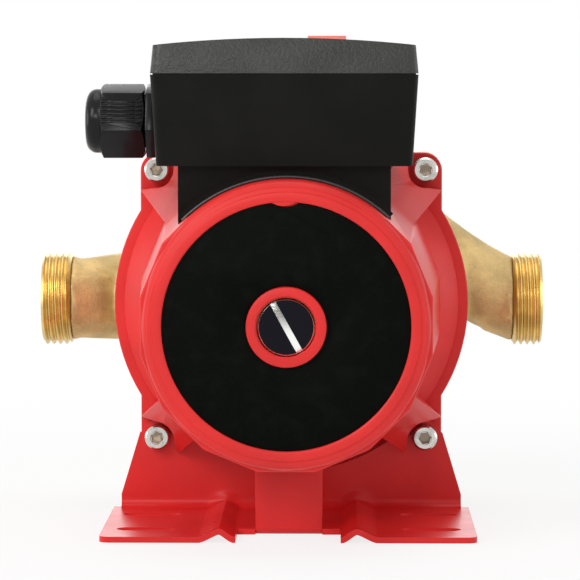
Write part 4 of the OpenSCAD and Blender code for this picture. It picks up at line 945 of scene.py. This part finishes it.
class PUMP_OT_foot(Operator):
    """Folds the sheet-steel foot, with its beads, slots, ears and tongue"""

    bl_idname = "pump.foot"
    bl_label = "Foot bracket"

    def execute(self, context):
        edge = context.scene.pump_sizes.sheet_edge
        bead = [BEAD_START + 0.8 * i for i in range(15)] + [BEAD_END]
        half = [0, 6, 12, 17] + bead + [33, 40, 50, UPRIGHT_HALF]
        sheet = folded("foot_bracket", [-x for x in reversed(half) if x] + half, sheet_path(), bead_rise)
        modified(sheet, "SOLIDIFY", thickness=SHEET_T * MM, offset=0.0, use_even_offset=True)
        outwards(sheet)
        combined(sheet, [foot_wing(side) for side in (-1, 1)], "UNION")
        combined(sheet, [prism("upright", upright_outline(), -UPRIGHT_PAST, UPRIGHT_PAST)], "INTERSECT")
        combined(sheet, foot_cuts(), "DIFFERENCE")
        rounded(sheet, edge, 55, 2)
        tongue = foot_tongue(edge)
        take(sheet)
        tongue.select_set(True)
        bpy.ops.object.join()
        finished(sheet, "foot paint", "pump", ["support_bracket"], 30)
        return {"FINISHED"}


class PUMP_OT_terminal_box(Operator):
    """Rounds the terminal box and its lid, and adds the rim that hugs the motor"""

    bl_idname = "pump.terminal_box"
    bl_label = "Terminal box"

    def execute(self, context):
        edge = (context.scene.pump_sizes.plastic_edge, 35, 3)
        dress("box_shell", "terminal_box", edge, "black moulding", "pump", 32)
        # The lid's lighter black is a painted sheen.
        dress("box_lid", "terminal_lid", edge, "lid moulding", "pump", 32)
        inner, outer, back, front = 48.0, 49.9, 115.5, 118.03
        rim = sector("neck_edge", inner, NECK_START, NECK_END, back, front, outer, steps=60)
        finished(rim, "black moulding", "pump", (), 32)
        lip_r, lip_round, lip_z, root, inner, back = 47.95, 0.5, 118.2, 116.0, 43, 100
        profile = arc(lip_r, lip_z, lip_round, 180, 0, 8)
        lip = turned("neck_lip", [(lip_r - lip_round, root)] + profile + [(lip_r + lip_round, root)], 200)
        combined(lip, [sector("sector", inner, NECK_START, NECK_END, back, PAST_FRONT)], "INTERSECT")
        # The lip's grey is a painted highlight.
        finished(lip, "lip moulding", "pump", (), 40)
        return {"FINISHED"}


class PUMP_OT_switch(Operator):
    """Rounds the rocker and the bezel of the switch"""

    bl_idname = "pump.switch"
    bl_label = "Switch"

    def execute(self, context):
        dress("rocker", "switch_rocker", (0.4 * MM, 30, 3), "rocker plastic", "rocker", 40)
        dress("switch_bezel", "switch_body", (0.25 * MM, 40, 2), "black moulding", "pump",
              40)
        return {"FINISHED"}


def nut_rib(flat, index):
    """One raised rib on a flat of the gland's dome nut."""
    across, length, start, turn, gland_y, gland_z = 22.4, 14.7, -48.1, 16.6, -19.5, 140.5
    half, high, sunk, pitch = 0.32, 0.36, 0.3, 1.4
    middle = (index - 2.5) * pitch
    rib = block("rib", (0.5 - length, middle - half, across / 2 - sunk),
                (-0.45, middle + half, across / 2 + high))
    rounded(rib, 0.2 * MM, 50, 2)
    rib.matrix_world = (Matrix.Translation(Vector((start, gland_y, gland_z)) * MM)
                        @ Matrix.Rotation(math.radians(-turn - 30 - 120 * flat), 4, "X"))
    return settle(rib)


class PUMP_OT_gland(Operator):
    """Rounds the cable gland's body and dome nut, and ribs every other flat of the nut"""

    bl_idname = "pump.gland"
    bl_label = "Cable gland"

    def execute(self, context):
        dress("gland_collar", "gland_body", (0.3 * MM, 35, 2), "gland black", "pump", 35)
        nut = rounded(cad_copy("dome_nut", "gland_nut"), 0.25 * MM, 35, 2)
        combined(nut, [nut_rib(flat, index) for flat in range(3) for index in range(6)], "UNION")
        finished(nut, "gland black", "gland_dome_nut", ["gland_nut"], 35)
        return {"FINISHED"}


class PUMP_OT_screws(Operator):
    """Makes one knurled socket head screw and copies it to the four lugs"""

    bl_idname = "pump.screws"
    bl_label = "Flange screws"

    def execute(self, context):
        knurls = context.scene.pump_sizes.knurls
        head_r, head_h, mouth_r, floor_z, shank_r, length = 4.4, 5.0, 2.2, 2.0, 2.5, 20.0
        profile = [(0, floor_z), (mouth_r, floor_z), (mouth_r, head_h - 0.25), (mouth_r + 0.25, head_h),
                   (head_r - 0.65, head_h), (head_r, head_h - 0.55), (head_r, 0), (shank_r, 0),
                   (shank_r, 0.5 - length), (shank_r - 0.5, -length), (0, -length)]
        screw = turned("screw", profile, knurls * 4, place=HERE)
        for point in screw.data.vertices:
            radius = math.hypot(point.co.x, point.co.y)
            if radius > (head_r - 0.1) * MM and -0.1 * MM < point.co.z < (head_h - 0.4) * MM:
                turn = math.atan2(point.co.y, point.co.x)
                ridge = 1 - 0.022 * (math.cos(turn * knurls) < -0.5)
                point.co.x *= ridge
                point.co.y *= ridge
        deselect()
        across, depth, middle = 4.0, 4.0, 3.4
        bpy.ops.mesh.primitive_cylinder_add(vertices=6, radius=across / math.cos(math.pi / 6) / 2 * MM,
                                            depth=depth * MM, location=(0, 0, middle * MM))
        socket = settle(added("socket"))
        fill_r, fill_low, fill_high = mouth_r + 0.25, 1.4, head_h - 0.15
        fill = [(0, fill_low), (fill_r, fill_low), (fill_r, fill_high), (0, fill_high)]
        combined(screw, [turned("fill", fill, 64, place=HERE)], "UNION")
        combined(screw, [socket], "DIFFERENCE")
        inside = screw.data.attributes.new("socket", "FLOAT", "FACE")
        for face in screw.data.polygons:
            reach, height = math.hypot(face.center.x, face.center.y), face.center.z
            inside.data[face.index].value = float(reach < 2.36 * MM and MM < height < (head_h - 0.2) * MM)
        for index, ((x, y), turn) in enumerate(zip(SCREW_PLACES, (11, 37, 22, 50))):
            copy = copied("flange_screw_%d" % (index + 1), screw)
            lift = FLANGE_FRONT + 0.02 + (SHEET_T if y < 0 else 0)
            copy.matrix_world = (MOTOR @ Matrix.Translation((x * MM, y * MM, lift * MM))
                                 @ Matrix.Rotation(math.radians(turn), 4, "Z"))
            settle(copy)
            nodes = ["flange_screws"] if index == 0 else ()
            finished(copy, "screw steel", "pump", nodes, 30)
        bpy.data.objects.remove(screw)
        return {"FINISHED"}


class PUMP_OT_nameplate(Operator):
    """Rounds the bare nameplate and the vent plug in its middle"""

    bl_idname = "pump.nameplate"
    bl_label = "Nameplate and vent plug"

    def execute(self, context):
        dress("plate_disc", "nameplate", (0.12 * MM, 50, 2), "plate black", "pump", 32)
        dress("plug_head", "vent_plug", (0.18 * MM, 40, 2), "plug steel", "plug", 32)
        return {"FINISHED"}


# Finishes of the CAD nodes that stay
CARRIED = {
    "stainless": ("wear_ring", "bearing_plate", "rotor_can", "front_bearing_holder", "shaft",
                  "rotor_sleeve"),
    "carbon": ("rear_bearing", "front_bearing"),
    "rubber": ("casing_oring", "can_oring", "lid_gasket", "thrust_ring", "vent_seal", "gland_seal"),
    "machined brass": ("can_bush", "terminal_screws", "switch_tabs", "impeller_nut"),
    "laminations": ("stator_core", "rotor_core"),
    "enamelled copper": ("stator_windings",),
    "wire plastic": ("motor_leads",),
    "screw steel": ("box_screws", "lid_screws", "capacitor_clip"),
    "ivory moulding": ("terminal_block", "capacitor", "impeller"),
    "gland black": ("gland_locknut",),
    "cast aluminium": ("rotor_cage",),
}


class PUMP_OT_inner_finishes(Operator):
    """Gives each CAD node that stays its own finish"""

    bl_idname = "pump.inner_finishes"
    bl_label = "Inner finishes"

    def execute(self, context):
        for finish, nodes in CARRIED.items():
            for node in nodes:
                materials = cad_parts[node].data.materials
                materials.clear()
                materials.append(FINISHES[finish]())
        return {"FINISHED"}


# Stage
def lamp(name, place, target, size, power, size_y=None):
    """A soft area lamp that points at a target, with its power in watts."""
    data = bpy.data.lights.new(name, "AREA")
    data.shape = "RECTANGLE"
    data.size = size * MM
    data.size_y = (size_y or size) * MM
    data.energy = power
    light = linked(name, data)
    light.location = Vector(place) * MM
    light.rotation_euler = (Vector(target) - Vector(place)).to_track_quat("-Z", "Y").to_euler()


class PUMP_OT_stage(Operator):
    """Sets up the camera, the pale floor and the soft light"""

    bl_idname = "pump.stage"
    bl_label = "Stage"

    def execute(self, context):
        scene = context.scene
        focal, width, sensor = 3097.0, 580.0, 36.0
        aim_x, aim_z = -48.0, -213.0
        data = bpy.data.cameras.new("camera")
        data.sensor_fit = "AUTO"
        data.sensor_width = sensor
        data.lens = focal / width * sensor
        data.clip_start, data.clip_end = 0.05, 50.0
        camera = linked("camera", data)
        camera.location = (16.6 * MM, -1061.5 * MM, 155.2 * MM)
        look = Vector((aim_x / focal, 1.0, aim_z / focal))
        camera.rotation_euler = look.to_track_quat("-Z", "Y").to_euler()
        scene.camera = camera

        deselect()
        bpy.ops.mesh.primitive_plane_add(size=9)
        floor = added("floor")
        with editing(floor, everything=True):
            bpy.ops.mesh.subdivide(number_cuts=3)
        floor.data.materials.append(floor_finish())

        world = bpy.data.worlds.new("studio")
        scene.world = world
        world.use_nodes = True
        air = Graph(world.node_tree)
        light = air.node("Background", {}, {
            "Color": (1, 1, 1, 1), "Strength": air.backdrop() * (1 - AMBIENT) + AMBIENT})
        air.node("OutputWorld", {}, {0: light})

        lamp("key", (-760, -820, 720), (0, 0, 80), 560, 6.7)
        lamp("fill", (760, -760, 420), (0, 0, 80), 700, 1.1)
        lamp("top", (60, 120, 1150), (0, 20, 60), 900, 5.0)
        lamp("front", (-260, -1500, 640), (0, 0, 140), 480, 3.6, size_y=300)
        lamp("left", (-1300, 130, 140), (0, 0, 80), 640, 3.6)
        lamp("right", (1300, 130, 140), (0, 0, 80), 640, 3.4)
        lamp("back", (-200, 1500, 440), (0, 0, 60), 1700, 3.9, size_y=460)
        scene.view_settings.view_transform = "Standard"
        return {"FINISHED"}


def floor_finish():
    """Pale paper that shows near white behind the object and keeps its shadow."""
    paper = Finish("pale floor", (0.9, 0.9, 0.9), roughness=0.9, specular=0.1)
    paper.set("Base Color", paper.blend(paper.noise(5, 2), (0.9, 0.9, 0.9), (0.93, 0.93, 0.93)))
    reach = paper.node("VectorMath", {"operation": "LENGTH"}, {0: paper.place}, output="Value")
    share = paper.step(reach, 0.16, 0.5) * 0.2 + 0.8
    glow = paper.node("Emission", {}, {"Color": (1, 1, 1, 1), "Strength": 1.0})
    paper.surface = paper.node("MixShader", {},
                               {0: paper.backdrop() * share, 1: paper.shader, 2: glow})
    return paper.done()


# Panel and registration
PIECES = (
    PUMP_OT_motor_housing, PUMP_OT_casing, PUMP_OT_port_threads, PUMP_OT_foot, PUMP_OT_terminal_box,
    PUMP_OT_switch, PUMP_OT_gland, PUMP_OT_screws, PUMP_OT_nameplate, PUMP_OT_inner_finishes, PUMP_OT_stage,
)


class PUMP_PT_pieces(Panel):
    """Lists the pump's pieces, sizes and colours"""

    bl_idname = "PUMP_PT_pieces"
    bl_label = "Shower pump"
    bl_space_type = "VIEW_3D"
    bl_region_type = "UI"
    bl_category = "Pump"

    def draw(self, context):
        layout = self.layout
        for piece in PIECES:
            layout.operator(piece.bl_idname)
        for group in (context.scene.pump_sizes, context.scene.pump_colours):
            box = layout.box()
            for name in group.__annotations__:
                box.prop(group, name)


CLASSES = (PumpSizes, PumpColours) + PIECES + (PUMP_PT_pieces,)


def register():
    for cls in CLASSES:
        bpy.utils.register_class(cls)
    bpy.types.Scene.pump_sizes = PointerProperty(type=PumpSizes)
    bpy.types.Scene.pump_colours = PointerProperty(type=PumpColours)


def unregister():
    del bpy.types.Scene.pump_colours
    del bpy.types.Scene.pump_sizes
    for cls in reversed(CLASSES):
        bpy.utils.unregister_class(cls)


def main():
    register()
    for piece in PIECES:
        group, name = piece.bl_idname.split(".")
        getattr(getattr(bpy.ops, group), name)()
    deselect()


if __name__ == "__main__":
    main()
